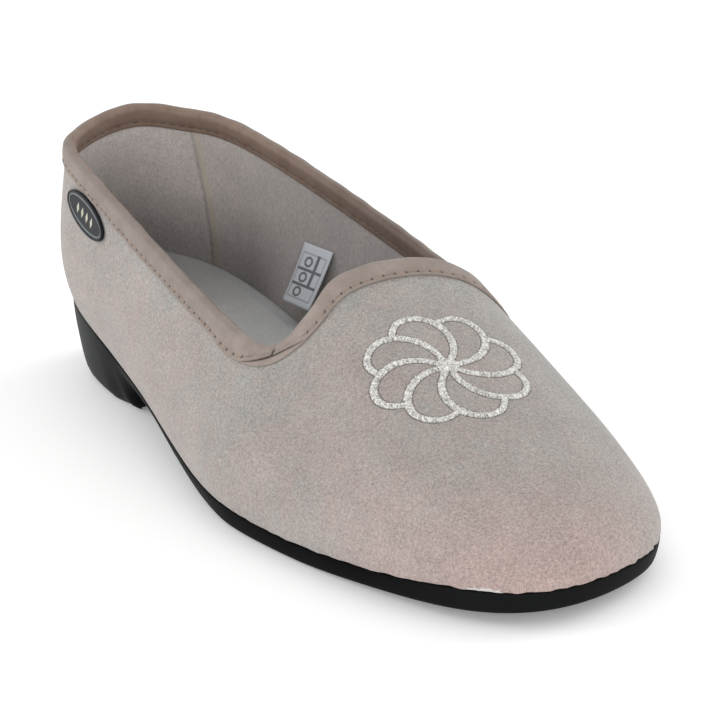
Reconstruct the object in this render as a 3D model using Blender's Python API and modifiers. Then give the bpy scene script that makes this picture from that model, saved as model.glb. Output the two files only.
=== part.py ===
"""Ballerina slipper, right shoe. Metres, +Y towards the toe, +X towards the outer side, +Z up.

The upper is one wall between two closed loops: the feather edge, where it meets the sole, and the top line.
Fourteen ribs join the loops, and every other piece is worked out from the same ribs.
"""

from collections import namedtuple

import bmesh
import bpy
import numpy as np

# Driving sizes of the last and of the finished shoe
LENGTH = 0.248
BALL_WIDTH = 0.086
COLLAR_HEIGHT = 0.0783
INSTEP_HEIGHT = 0.058

# Thicknesses
WALL = 0.0020
TAPE = 0.0006
GAP = 0.0003
INSOLE_THICKNESS = 0.0030
INSOLE_CLEARANCE = 0.0008
INSOLE_BEVEL = 0.0008

# Trim
BINDING_WIDTH = 0.0062
FLOWER_RADIUS = 0.0206
FLOWER_BAND = 0.0020
FLOWER_HEIGHT = 0.0006
PETALS = 8
BADGE_LENGTH = 0.0256
BADGE_WIDTH = 0.0097
BADGE_RIM = 0.0009
BADGE_THICKNESS = 0.0009
BADGE_RECESS = 0.0003
BADGE_POINTS = 24
LABEL_WIDTH = 0.0134
LABEL_LENGTH = 0.0175
LABEL_THICKNESS = 0.0004
LABEL_LEAN = 0.0062
LABEL_ROWS = 5
LABEL_COLUMNS = 3

# Fineness: stations for each rib, and rows up the wall as shares of the way to the binding's hem
UPPER_STEPS = 8
SOLE_STEPS = 10
WALL_ROWS = (0, 0.05, 0.14, 0.27, 0.42, 0.57, 0.72, 0.86, 1)

# Ribs of the upper, from the heel's back round the outer side to the toe and back along the inner side.
# Sides are shares of the ball width and places shares of the length. Each rib leaves the feather edge
# by its rise and swell, and comes to the top line by its fall and its spread, which points along the aim.
Rib = namedtuple("Rib", "foot_side foot_at top_side top_at top_up rise swell fall spread aim_degrees")
RIBS = (
    Rib(0.000, 0.007, 0.000, 0.075, 1.000 * COLLAR_HEIGHT, 0.0140, 0.0068, 0.0160, 0.0015, -90),
    Rib(0.245, 0.069, 0.243, 0.095, 0.953 * COLLAR_HEIGHT, 0.0140, 0.0060, 0.0155, 0.0020, -38),
    Rib(0.329, 0.182, 0.324, 0.173, 0.884 * COLLAR_HEIGHT, 0.0140, 0.0040, 0.0140, 0.0025, -4),
    Rib(0.416, 0.351, 0.364, 0.375, 0.722 * COLLAR_HEIGHT, 0.0130, 0.0040, 0.0120, 0.0020, 3),
    Rib(0.532, 0.543, 0.372, 0.540, 0.800 * INSTEP_HEIGHT, 0.0120, 0.0045, 0.0095, 0.0040, 15),
    Rib(0.533, 0.705, 0.301, 0.591, 0.775 * INSTEP_HEIGHT, 0.0130, 0.0045, 0.0110, 0.0150, 48),
    Rib(0.346, 0.952, 0.190, 0.602, 0.955 * INSTEP_HEIGHT, 0.0145, 0.0040, 0.0190, 0.0325, 76),
    Rib(-0.070, 0.994, 0.051, 0.592, 1.033 * INSTEP_HEIGHT, 0.0180, 0.0030, 0.0210, 0.0495, 91),
    Rib(-0.358, 0.913, -0.214, 0.624, 1.028 * INSTEP_HEIGHT, 0.0145, 0.0030, 0.0199, 0.0265, 105),
    Rib(-0.447, 0.719, -0.375, 0.632, 0.789 * INSTEP_HEIGHT, 0.0135, 0.0050, 0.0117, 0.0130, 128),
    Rib(-0.416, 0.536, -0.419, 0.545, 0.838 * INSTEP_HEIGHT, 0.0120, 0.0045, 0.0100, 0.0040, 165),
    Rib(-0.317, 0.365, -0.391, 0.373, 0.760 * COLLAR_HEIGHT, 0.0130, 0.0040, 0.0120, 0.0020, 177),
    Rib(-0.326, 0.179, -0.291, 0.176, 0.928 * COLLAR_HEIGHT, 0.0140, 0.0040, 0.0140, 0.0025, 184),
    Rib(-0.222, 0.059, -0.183, 0.097, 0.967 * COLLAR_HEIGHT, 0.0140, 0.0058, 0.0155, 0.0025, 218),
)

# Cross sections of the sole along the length: the seat that carries the upper and the foot, the height of
# the underside, and how far the side tucks in from the feather edge down to the underside.
Section = namedtuple("Section", "at seat under tuck")
SOLE_SECTIONS = (
    Section(-0.03, 0.0283, 0.0000, 0.0045),
    Section(0.05, 0.0261, 0.0000, 0.0045),
    Section(0.18, 0.0202, 0.0000, 0.0047),
    Section(0.235, 0.0183, 0.0000, 0.0076),
    Section(0.27, 0.0171, 0.0086, 0.0062),
    Section(0.35, 0.0147, 0.0082, 0.0045),
    Section(0.45, 0.0108, 0.0044, 0.0030),
    Section(0.54, 0.0078, 0.0014, 0.0024),
    Section(0.61, 0.0066, 0.0000, 0.0023),
    Section(0.71, 0.0059, 0.0000, 0.0022),
    Section(0.85, 0.0073, 0.0011, 0.0031),
    Section(0.95, 0.0090, 0.0028, 0.0019),
    Section(1.02, 0.0091, 0.0035, 0.0020),
)

# Shape of the sole's side: share of the drop from seat to underside, and share of the tuck
SideStep = namedtuple("SideStep", "drop tuck")
SIDE_STEPS = (
    SideStep(0, 0),
    SideStep(0.12, 0.02),
    SideStep(0.55, 0.28),
    SideStep(0.88, 0.62),
    SideStep(1, 1),
)

# One line of the flower from the hub outwards, round the petal's tip and on to the next line:
# shares of the flower's radius, and degrees from where the line leaves the hub
Turn = namedtuple("Turn", "radius degrees")
PETAL_LINE = (
    Turn(0.10, 0),
    Turn(0.27, 1),
    Turn(0.53, 10),
    Turn(0.80, 24),
    Turn(0.97, 39),
    Turn(0.99, 56),
    Turn(0.85, 71),
)
PETAL_STEPS = 14

# Places on the wall: ribs counted round the shoe, share of the rib's height, and turn in the wall's own plane
Spot = namedtuple("Spot", "rib share degrees")
FLOWER_SPOT = Spot(6.94, 0.720, 37)
BADGE_SPOT = Spot(2.13, 0.747, -2)
LABEL_SPOT = Spot(11.33, 0.365, -8)

# Finishes: linear colour, roughness, metallic
Finish = namedtuple("Finish", "colour roughness metallic")
FINISHES = {
    "sole": Finish((0.012, 0.012, 0.013), 0.45, 0.0),
    "insole": Finish((0.36, 0.35, 0.35), 0.95, 0.0),
    "upper": Finish((0.44, 0.38, 0.35), 0.90, 0.0),
    "collar_binding": Finish((0.36, 0.27, 0.22), 0.60, 0.0),
    "vamp_embroidery": Finish((0.80, 0.78, 0.72), 0.40, 0.0),
    "side_badge": Finish((0.010, 0.014, 0.022), 0.45, 0.0),
    "lining_label": Finish((0.55, 0.57, 0.62), 0.80, 0.0),
}

# Working values: step for slopes, weld distance, edges that stay crisp, and rounds of the searches
DELTA = 1e-4
WELD = 1e-6
SHARP_EDGE = np.radians(40)
DEPTH_STEPS = 24
LAY_ROUNDS = 12


def closed_spline(rows):
    """Periodic cubic through the rows, one unit of s from each row to the next."""
    rows = np.array(rows)
    count = len(rows)
    step = np.roll(np.eye(count), 1, axis=1)
    bend = 3 * (np.roll(rows, -1, axis=0) - np.roll(rows, 1, axis=0))
    slopes = np.linalg.solve(4 * np.eye(count) + step + step.T, bend)

    def value(s):
        first = np.floor(s).astype(int) % count
        last = (first + 1) % count
        t = (s - np.floor(s))[..., None]
        start = rows[first] * (1 + 2 * t) + slopes[first] * t
        end = rows[last] * (3 - 2 * t) - slopes[last] * (1 - t)
        return start * (1 - t) ** 2 + end * t ** 2

    return value


def along_shoe(column):
    """Monotone cubic through one column of the sole's sections, as a function of y."""
    place = np.array([section.at for section in SOLE_SECTIONS]) * LENGTH
    value = np.array([getattr(section, column) for section in SOLE_SECTIONS])
    grade = np.diff(value) / np.diff(place)
    slope = np.concatenate([grade[:1], np.zeros(len(place) - 2), grade[-1:]])
    for i in range(1, len(place) - 1):
        if grade[i - 1] * grade[i] > 0:
            slope[i] = 2 * grade[i - 1] * grade[i] / (grade[i - 1] + grade[i])

    def at(y):
        i = np.clip(np.searchsorted(place, y) - 1, 0, len(place) - 2)
        run = place[i + 1] - place[i]
        t = (y - place[i]) / run
        start = value[i] * (1 + 2 * t) + slope[i] * run * t
        end = value[i + 1] * (3 - 2 * t) - slope[i + 1] * run * (1 - t)
        return start * (1 - t) ** 2 + end * t ** 2

    return at


def rib_row(rib):
    """One rib in metres, its aim as a level unit vector."""
    aim = np.radians(rib.aim_degrees)
    foot = (rib.foot_side * BALL_WIDTH, rib.foot_at * LENGTH)
    top = (rib.top_side * BALL_WIDTH, rib.top_at * LENGTH, rib.top_up)
    return (*foot, *top, rib.rise, rib.swell, rib.fall, rib.spread, np.cos(aim), np.sin(aim))


rib_at = closed_spline([rib_row(rib) for rib in RIBS])
seat_at = along_shoe("seat")
under_at = along_shoe("under")
tuck_at = along_shoe("tuck")


def unit(vectors):
    return vectors / np.linalg.norm(vectors, axis=-1, keepdims=True)


def feather_edge(s):
    """The closed line where the upper meets the sole."""
    x, y = np.moveaxis(rib_at(s)[..., :2], -1, 0)
    return np.stack([x, y, seat_at(y)], axis=-1)


def feather_outward(s):
    """Level normal of the feather edge, away from the foot."""
    x, y = np.moveaxis(rib_at(s + DELTA)[..., :2] - rib_at(s - DELTA)[..., :2], -1, 0)
    return unit(np.stack([y, -x, 0 * x], axis=-1))


def wall(s, h):
    """Outer face of the upper: s counts ribs, h goes from the feather edge, 0, to the top line, 1."""
    s, h = np.broadcast_arrays(np.asarray(s, float), np.asarray(h, float))
    row = rib_at(s)
    rise, swell, fall, spread, aim_x, aim_y = np.moveaxis(row[..., 5:, None], -2, 0)
    upward = np.array([0.0, 0.0, 1.0])
    aim = unit(np.concatenate([aim_x, aim_y, 0 * aim_x], axis=-1))
    foot = feather_edge(s)
    top = row[..., 2:5]
    low = foot + feather_outward(s) * swell + upward * rise
    high = top + aim * spread - upward * fall
    h = h[..., None]
    return (1 - h) ** 3 * foot + 3 * h * (1 - h) ** 2 * low + 3 * h ** 2 * (1 - h) * high + h ** 3 * top


def wall_slopes(s, h):
    along = (wall(s + DELTA, h) - wall(s - DELTA, h)) / (2 * DELTA)
    upward = (wall(s, h + DELTA) - wall(s, h - DELTA)) / (2 * DELTA)
    return along, upward


def outward(s, h):
    along, upward = wall_slopes(s, h)
    return unit(np.cross(along, upward))


def below_top(s, depth):
    """Share of the rib's height at a depth below the top line, measured along the wall."""
    h = np.ones_like(s)
    for _ in range(DEPTH_STEPS):
        h = h - depth / DEPTH_STEPS / np.linalg.norm(wall_slopes(s, h)[1], axis=-1)
    return h


def stations(steps):
    return np.arange(len(RIBS) * steps) / steps


def lay_on_wall(flat, spot):
    """Flat points (across, up, height off the outer face) laid on the wall about a spot."""
    centre_s, centre_h, degrees = spot
    here = (np.array(centre_s), np.array(centre_h))
    centre = wall(*here)
    normal = outward(*here)
    level = unit(wall_slopes(*here)[0])
    turn = np.radians(degrees)
    across = level * np.cos(turn) + np.cross(normal, level) * np.sin(turn)
    axes = np.stack([across, np.cross(normal, across)])
    s = np.full(len(flat), centre_s)
    h = np.full(len(flat), centre_h)
    for _ in range(LAY_ROUNDS):
        miss = flat[:, :2] - (wall(s, h) - centre) @ axes.T
        along, upward = wall_slopes(s, h)
        slopes = np.stack([along @ axes.T, upward @ axes.T], axis=-1)
        move = np.linalg.solve(slopes, miss[..., None])[..., 0]
        s = s + move[:, 0]
        h = h + move[:, 1]
    return wall(s, h) + outward(s, h) * flat[:, 2:3]


def finish_material(name):
    finish = FINISHES[name]
    material = bpy.data.materials.new(name)
    material.use_nodes = True
    shader = material.node_tree.nodes["Principled BSDF"]
    shader.inputs["Base Color"].default_value = (*finish.colour, 1.0)
    shader.inputs["Roughness"].default_value = finish.roughness
    shader.inputs["Metallic"].default_value = finish.metallic
    return material


def add_part(name, mesh, collection, root):
    mesh.name = name
    mesh.shade_smooth()
    mesh.set_sharp_from_angle(angle=SHARP_EDGE)
    mesh.materials.clear()
    mesh.materials.append(finish_material(name))
    part = bpy.data.objects.new(name, mesh)
    part.parent = root
    collection.objects.link(part)
    return part


def loft(rings, capped, joined=False):
    """Mesh through closed rings of equal count, with ladder caps, or its last ring joined to its first."""
    shape = bmesh.new()
    loops = [[shape.verts.new(point) for point in ring] for ring in rings]
    count = len(loops[0])
    pairs = list(zip(loops, loops[1:]))
    if joined:
        pairs.append((loops[-1], loops[0]))
    for low, high in pairs:
        for i in range(count):
            k = (i + 1) % count
            shape.faces.new((low[i], low[k], high[k], high[i]))
    if capped:
        add_ladder(shape, loops[0][::-1])
        add_ladder(shape, loops[-1])
    mesh = bpy.data.meshes.new("loft")
    shape.to_mesh(mesh)
    shape.free()
    return mesh


def add_ladder(shape, loop):
    """Close a loop with rungs from its one side to its other, starting at the loop's own ends."""
    count = len(loop)
    half = count // 2
    first = loop[0]
    shape.faces.new((first, loop[1], loop[-1]))
    for i in range(1, half - 1):
        shape.faces.new((loop[i], loop[i + 1], loop[count - i - 1], loop[count - i]))
    shape.faces.new((loop[half - 1], loop[half], loop[half + 1]))


def sole_mesh():
    s = stations(SOLE_STEPS)
    edge = feather_edge(s)
    y = edge[:, 1]
    inward = -feather_outward(s)
    rim = edge[:, 2] - GAP
    rings = []
    for step in reversed(SIDE_STEPS):
        ring = edge + inward * (tuck_at(y) * step.tuck)[:, None]
        ring[:, 2] = rim + (under_at(y) - rim) * step.drop
        rings.append(ring)
    return loft(rings, capped=True)


def insole_mesh():
    s = stations(UPPER_STEPS)
    edge = feather_edge(s)
    inward = -feather_outward(s)
    inset = WALL + INSOLE_CLEARANCE
    rings = []
    for more, lift in ((0, 0), (0, INSOLE_THICKNESS - INSOLE_BEVEL), (INSOLE_BEVEL, INSOLE_THICKNESS)):
        ring = edge + inward * (inset + more)
        ring[:, 2] = seat_at(ring[:, 1]) + lift
        rings.append(ring)
    return loft(rings, capped=True)


def upper_mesh():
    """Open outer face of the upper, from the feather edge to just inside the binding's fold."""
    s = stations(UPPER_STEPS)
    hem = below_top(s, BINDING_WIDTH)
    edge = below_top(s, WALL / 2 + GAP + TAPE)
    heights = [hem * row for row in WALL_ROWS] + [edge]
    return loft([wall(s, height) for height in heights], capped=False)


def binding_mesh():
    """Tape folded over the upper's edge: two flanges along the wall and a round fold between them."""
    s = stations(UPPER_STEPS)
    slot = WALL / 2 + GAP
    fold = slot + TAPE
    crown = below_top(s, fold)
    hem = below_top(s, BINDING_WIDTH)
    middle = wall(s, crown) - outward(s, crown) * WALL / 2
    upward = unit(wall_slopes(s, crown)[1])

    def round_fold(radius, degrees):
        turn = np.radians(degrees)
        return middle + (outward(s, crown) * np.cos(turn) + upward * np.sin(turn)) * radius

    def flange(offset):
        return wall(s, hem) + outward(s, hem) * (offset - WALL / 2)

    rings = [flange(slot), flange(fold)]
    rings += [round_fold(fold, degrees) for degrees in (0, 45, 90, 135, 180)]
    rings += [flange(-fold), flange(-slot)]
    rings += [round_fold(slot, degrees) for degrees in (180, 90, 0)]
    return loft(rings, capped=False, joined=True)


def petal_line():
    """Centre line of one stitched line of the flower, flat, from the hub to the tip's end."""
    rows = np.array(PETAL_LINE)
    fine = np.linspace(0, len(rows) - 1, PETAL_STEPS)
    slopes = np.gradient(rows, axis=0)
    i = np.minimum(fine.astype(int), len(rows) - 2)
    t = (fine - i)[:, None]
    start = rows[i] * (1 + 2 * t) + slopes[i] * t
    end = rows[i + 1] * (3 - 2 * t) - slopes[i + 1] * (1 - t)
    radius, degrees = (start * (1 - t) ** 2 + end * t ** 2).T
    turn = np.radians(degrees)
    return np.stack([np.cos(turn), np.sin(turn)], axis=1) * (radius * FLOWER_RADIUS)[:, None]


def turned(line, degrees):
    turn = np.radians(degrees)
    return line @ np.array([[np.cos(turn), np.sin(turn)], [-np.sin(turn), np.cos(turn)]])


def beside(line, offset):
    """Line moved to its left by the offset."""
    run = unit(np.gradient(line, axis=0))
    return line + np.stack([-run[:, 1], run[:, 0]], axis=1) * offset


def clear_of(points, lines, distance):
    """The points that stay a distance away from every segment of the lines."""
    keep = np.ones(len(points), bool)
    for line in lines:
        start = line[:-1]
        run = line[1:] - start
        away = points[:, None] - start[None]
        share = np.clip((away * run).sum(axis=2) / (run * run).sum(axis=1), 0, 1)
        keep &= np.linalg.norm(away - share[..., None] * run, axis=2).min(axis=1) >= distance
    return points[keep]


def flower_outlines():
    """Flat outlines of the stitched band: the outer scallop, then the hole inside each petal."""
    half = FLOWER_BAND / 2
    lines = [turned(petal_line(), 360 / PETALS * k) for k in range(PETALS)]
    meet = np.linalg.norm(lines[1] - lines[0][-1], axis=1).argmin()
    scallop = []
    holes = []
    for k, line in enumerate(lines):
        before = lines[k - 1]
        after = lines[(k + 1) % PETALS]
        scallop.append(clear_of(beside(line, -half)[meet:], (before, after), half))
        inside = clear_of(beside(line, half), (after,), half)
        back = clear_of(beside(after, -half)[:meet + 1], (line,), half)
        holes.append(np.concatenate([inside, back[::-1]]))
    return [np.concatenate(scallop)] + holes


def flat_solid(outlines, thickness):
    """Mesh of a filled flat curve with some thickness, its caps welded to its sides."""
    curve = bpy.data.curves.new("flat_outline", "CURVE")
    curve.dimensions = "2D"
    curve.fill_mode = "BOTH"
    curve.extrude = thickness / 2
    for outline in outlines:
        spline = curve.splines.new("POLY")
        spline.points.add(len(outline) - 1)
        for point, (x, y) in zip(spline.points, outline):
            point.co = (x, y, 0, 1)
        spline.use_cyclic_u = True
    guide = bpy.data.objects.new("flat_outline", curve)
    bpy.context.scene.collection.objects.link(guide)
    bpy.context.view_layer.update()
    mesh = bpy.data.meshes.new_from_object(guide.evaluated_get(bpy.context.evaluated_depsgraph_get()))
    bpy.data.objects.remove(guide)
    bpy.data.curves.remove(curve)
    shape = bmesh.new()
    shape.from_mesh(mesh)
    bmesh.ops.remove_doubles(shape, verts=shape.verts, dist=WELD)
    shape.to_mesh(mesh)
    shape.free()
    return mesh


def move_points(mesh, rule):
    points = np.empty(len(mesh.vertices) * 3)
    mesh.vertices.foreach_get("co", points)
    mesh.vertices.foreach_set("co", rule(points.reshape(-1, 3)).ravel())
    mesh.update()


def embroidery_mesh():
    mesh = flat_solid(flower_outlines(), FLOWER_HEIGHT)
    lift = np.array([0, 0, GAP + FLOWER_HEIGHT / 2])
    move_points(mesh, lambda points: lay_on_wall(points + lift, FLOWER_SPOT))
    return mesh


def badge_mesh():
    """Oval badge with a raised rim, its long axis level along the wall."""
    turn = np.arange(BADGE_POINTS) * 2 * np.pi / BADGE_POINTS
    top = GAP + BADGE_THICKNESS
    field = top - BADGE_RECESS
    steps = ((0, GAP), (0, field), (BADGE_RIM / 3, top), (BADGE_RIM, top), (BADGE_RIM, field))
    rings = []
    for inset, height in steps:
        across = np.cos(turn) * (BADGE_LENGTH / 2 - inset)
        up = np.sin(turn) * (BADGE_WIDTH / 2 - inset)
        rings.append(lay_on_wall(np.stack([across, up, np.full(BADGE_POINTS, height)], axis=1), BADGE_SPOT))
    return loft(rings, capped=True)


def label_mesh():
    """Tab that hangs from its upper edge and leans off the lining, an open sheet that gets its thickness."""
    shape = bmesh.new()
    bmesh.ops.create_grid(shape, x_segments=LABEL_COLUMNS, y_segments=LABEL_ROWS, size=0.5)
    bmesh.ops.reverse_faces(shape, faces=shape.faces)
    mesh = bpy.data.meshes.new("lining_label")
    shape.to_mesh(mesh)
    shape.free()

    def hang(points):
        flat = points * np.array([LABEL_WIDTH, LABEL_LENGTH, 0])
        flat[:, 2] = -WALL - GAP - LABEL_LEAN * (0.5 - points[:, 1])
        return lay_on_wall(flat, LABEL_SPOT)

    move_points(mesh, hang)
    return mesh


def add_thickness(part, thickness, offset):
    solid = part.modifiers.new("wall", "SOLIDIFY")
    solid.thickness = thickness
    solid.offset = offset
    solid.use_even_offset = True


def stand_on_origin(root, parts):
    """Move the root so that the box of all parts has the middle of its base at the origin."""
    bpy.context.view_layer.update()
    shown = bpy.context.evaluated_depsgraph_get()
    corners = []
    for part in parts:
        corners += [part.matrix_world @ vertex.co for vertex in part.evaluated_get(shown).data.vertices]
    low = np.min(corners, axis=0)
    high = np.max(corners, axis=0)
    middle = (low + high) / 2
    root.location = (-middle[0], -middle[1], -low[2])
    bpy.context.view_layer.update()


def main():
    for old in list(bpy.data.objects):
        bpy.data.objects.remove(old)
    collection = bpy.data.collections.new("ballerina_slipper")
    bpy.context.scene.collection.children.link(collection)
    root = bpy.data.objects.new("slipper_root", None)
    collection.objects.link(root)
    meshes = {
        "sole": sole_mesh(),
        "insole": insole_mesh(),
        "upper": upper_mesh(),
        "collar_binding": binding_mesh(),
        "vamp_embroidery": embroidery_mesh(),
        "side_badge": badge_mesh(),
        "lining_label": label_mesh(),
    }
    parts = {name: add_part(name, mesh, collection, root) for name, mesh in meshes.items()}
    add_thickness(parts["upper"], WALL, -1)
    add_thickness(parts["lining_label"], LABEL_THICKNESS, 1)
    stand_on_origin(root, parts.values())


main()
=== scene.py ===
"""Ballerina slipper, right shoe: cloth, tape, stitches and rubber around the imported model.

Sizes are metres in the shoe's own place: +Y from the heel's back to the toe, +X to the outer side, +Z up.
The wall between feather edge and top line is worked out from the same ribs as the solids, and every piece
is laid on it. SHIFT carries the finished pieces into the frame.
"""

from collections import namedtuple

import bpy
import numpy as np
from mathutils import Matrix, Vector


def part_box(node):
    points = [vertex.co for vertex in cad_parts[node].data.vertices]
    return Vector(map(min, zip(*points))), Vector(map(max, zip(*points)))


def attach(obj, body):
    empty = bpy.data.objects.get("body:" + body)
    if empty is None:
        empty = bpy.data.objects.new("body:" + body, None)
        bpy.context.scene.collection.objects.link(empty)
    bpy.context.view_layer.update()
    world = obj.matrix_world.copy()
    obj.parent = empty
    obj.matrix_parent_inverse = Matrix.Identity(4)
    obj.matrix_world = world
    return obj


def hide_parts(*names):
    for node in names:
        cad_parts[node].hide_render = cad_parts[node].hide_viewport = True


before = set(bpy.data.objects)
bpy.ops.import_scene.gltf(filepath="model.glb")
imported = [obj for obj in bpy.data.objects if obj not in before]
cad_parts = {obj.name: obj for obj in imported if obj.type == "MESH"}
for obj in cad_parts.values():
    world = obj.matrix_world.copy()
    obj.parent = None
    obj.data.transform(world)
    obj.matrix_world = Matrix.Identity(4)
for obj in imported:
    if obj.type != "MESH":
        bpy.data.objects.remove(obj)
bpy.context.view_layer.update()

# Driving sizes of the last
LENGTH = 0.248
BALL_WIDTH = 0.086
COLLAR_HEIGHT = 0.0783
INSTEP_HEIGHT = 0.058

# Layers of the wall, from its outer face inwards, and the gap between touching pieces
WALL = 0.0020
OUTER_CLOTH = 0.0012
LINING_GAP = 0.00005
GAP = 0.0003

# Ribs of the upper, from the heel's back round the outer side to the toe and back along the inner side.
# Sides are shares of the ball width and places shares of the length. Each rib leaves the feather edge
# by its rise and swell, and comes to the top line by its fall and its spread, which points along the aim.
Rib = namedtuple("Rib", "foot_side foot_at top_side top_at top_up rise swell fall spread aim_degrees")
RIBS = (
    Rib(0.000, 0.007, 0.000, 0.075, 1.000 * COLLAR_HEIGHT, 0.0140, 0.0068, 0.0160, 0.0015, -90),
    Rib(0.245, 0.069, 0.243, 0.095, 0.953 * COLLAR_HEIGHT, 0.0140, 0.0060, 0.0155, 0.0020, -38),
    Rib(0.329, 0.182, 0.324, 0.173, 0.884 * COLLAR_HEIGHT, 0.0140, 0.0040, 0.0140, 0.0025, -4),
    Rib(0.416, 0.351, 0.364, 0.375, 0.722 * COLLAR_HEIGHT, 0.0130, 0.0040, 0.0120, 0.0020, 3),
    Rib(0.532, 0.543, 0.372, 0.540, 0.800 * INSTEP_HEIGHT, 0.0120, 0.0045, 0.0095, 0.0040, 15),
    Rib(0.533, 0.705, 0.301, 0.591, 0.775 * INSTEP_HEIGHT, 0.0130, 0.0045, 0.0110, 0.0150, 48),
    Rib(0.346, 0.952, 0.190, 0.602, 0.955 * INSTEP_HEIGHT, 0.0145, 0.0040, 0.0190, 0.0325, 76),
    Rib(-0.070, 0.994, 0.051, 0.592, 1.033 * INSTEP_HEIGHT, 0.0180, 0.0030, 0.0210, 0.0495, 91),
    Rib(-0.358, 0.913, -0.214, 0.624, 1.028 * INSTEP_HEIGHT, 0.0145, 0.0030, 0.0199, 0.0265, 105),
    Rib(-0.447, 0.719, -0.375, 0.632, 0.789 * INSTEP_HEIGHT, 0.0135, 0.0050, 0.0117, 0.0130, 128),
    Rib(-0.416, 0.536, -0.419, 0.545, 0.838 * INSTEP_HEIGHT, 0.0120, 0.0045, 0.0100, 0.0040, 165),
    Rib(-0.317, 0.365, -0.391, 0.373, 0.760 * COLLAR_HEIGHT, 0.0130, 0.0040, 0.0120, 0.0020, 177),
    Rib(-0.326, 0.179, -0.291, 0.176, 0.928 * COLLAR_HEIGHT, 0.0140, 0.0040, 0.0140, 0.0025, 184),
    Rib(-0.222, 0.059, -0.183, 0.097, 0.967 * COLLAR_HEIGHT, 0.0140, 0.0058, 0.0155, 0.0025, 218),
)
SOLE_STEPS = 10

# Cross sections of the sole along the length: the seat that carries the upper and the foot, the height of
# the underside, and how far the side tucks in from the feather edge down to the underside.
Section = namedtuple("Section", "at seat under tuck")
SOLE_SECTIONS = (
    Section(-0.03, 0.0283, 0.0000, 0.0045),
    Section(0.05, 0.0261, 0.0000, 0.0045),
    Section(0.18, 0.0202, 0.0000, 0.0047),
    Section(0.235, 0.0183, 0.0000, 0.0076),
    Section(0.27, 0.0171, 0.0086, 0.0062),
    Section(0.35, 0.0147, 0.0082, 0.0045),
    Section(0.45, 0.0108, 0.0044, 0.0030),
    Section(0.54, 0.0078, 0.0014, 0.0024),
    Section(0.61, 0.0066, 0.0000, 0.0023),
    Section(0.71, 0.0059, 0.0000, 0.0022),
    Section(0.85, 0.0073, 0.0011, 0.0031),
    Section(0.95, 0.0090, 0.0028, 0.0019),
    Section(1.02, 0.0091, 0.0035, 0.0020),
)

# Shape of the sole's side: share of the drop from seat to underside, and share of the tuck
SIDE_DROPS = (0, 0.12, 0.55, 0.88, 1)
SIDE_TUCKS = (0, 0.02, 0.28, 0.62, 1)

# Soft troughs and ridges of the upper: a spot on the wall, the turn of the fold's line from level,
# its half length and half width, and its height, below nought for a trough
Fold = namedtuple("Fold", "rib share degrees length width height")
FOLDS = (
    Fold(6.90, 0.40, 4, 0.030, 0.0100, -0.0007),
    Fold(5.20, 0.62, -38, 0.018, 0.0060, -0.0005),
    Fold(4.30, 0.55, -14, 0.020, 0.0055, -0.0005),
    Fold(3.10, 0.45, 8, 0.024, 0.0070, 0.0004),
    Fold(9.10, 0.60, 35, 0.018, 0.0060, -0.0005),
    Fold(10.20, 0.50, 12, 0.020, 0.0060, -0.0004),
)

# Small puckers where the upper is pulled over the last's edge, round the toe
PUCKER_HEIGHT = 0.00012
PUCKER_REACH = 0.0035
PUCKER_WAVES = ((97, 0.3), (61, 1.9), (143, 4.0))
PUCKER_TOE = (7.0, 2.2)

# Binding: tape folded over the top line, its hem, stitches, and the lips at the two dips
BINDING_WIDTH = 0.0062
INNER_WIDTH = 0.0066
FOLD_RADIUS = 0.0019
INNER_FOLD_RADIUS = 0.00105
FOLD_TURNS = range(0, 181, 15)
INNER_FOLD_TURNS = range(180, -1, -45)
STITCH_PITCH = 0.0030
STITCH_ABOVE_HEM = 0.00115
INNER_STITCH_ABOVE_HEM = 0.00160
STATIONS_A_STITCH = 8
FLAP_HEIGHT = 0.00045
FLAP_REACH = 0.0045
FLAP_LEAN = 0.3
FLAP_FADE = (0.0006, 0.0028)
NOTCH_DEPTH = 0.00055
NOTCH_WIDTH = 0.00040
BARE_BACK = 0.0045
BARE_FRONT = 0.0085
TAPE_WAVES = ((29, 1.0), (43, 2.2), (17, 0.0))
TAPE_WAVE_HEIGHT = 0.00005
LIP_WIDTH = 0.0026
LIP_BACK = 0.0080
LIP_FRONT = 0.0105
LIP_ROUNDING = 1.3
FLANGE_REST = 0.0002
DIP_SPREAD = 0.0010
DIP_SPREAD_AT = 0.0130
DIP_SPREAD_REACH = 0.0080
THROAT_SPREAD = 0.0013
THROAT_SPREAD_RUN = (0.010, 0.028)
STITCH_PULL = 0.00010
STITCH_PULL_WIDTH = 0.0006
Dip = namedtuple("Dip", "rib heelward")
DIPS = (Dip(4.82, -1), Dip(9.18, 1))

# Section of the tape's outer and inner flange: height above the hem, and height off the cloth
TapeStep = namedtuple("TapeStep", "above off")
OUTER_FLANGE = (
    TapeStep(0.00000, 0.00004),
    TapeStep(-0.00012, 0.00030),
    TapeStep(0.00000, 0.00058),
    TapeStep(0.00035, 0.00074),
    TapeStep(0.00080, 0.00066),
    TapeStep(STITCH_ABOVE_HEM, 0.00044),
    TapeStep(0.00150, 0.00066),
    TapeStep(0.00200, 0.00082),
    TapeStep(0.00300, 0.00090),
)
INNER_FLANGE = (
    TapeStep(0.00300, 0.00088),
    TapeStep(0.00215, 0.00078),
    TapeStep(INNER_STITCH_ABOVE_HEM, 0.00052),
    TapeStep(0.00100, 0.00070),
    TapeStep(0.00030, 0.00074),
    TapeStep(-0.00010, 0.00045),
    TapeStep(0.00000, 0.00005),
)
OUTER_BACKING = TapeStep(0.00150, 0.00004)
INNER_BACKING = TapeStep(0.00250, 0.00005)

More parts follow.
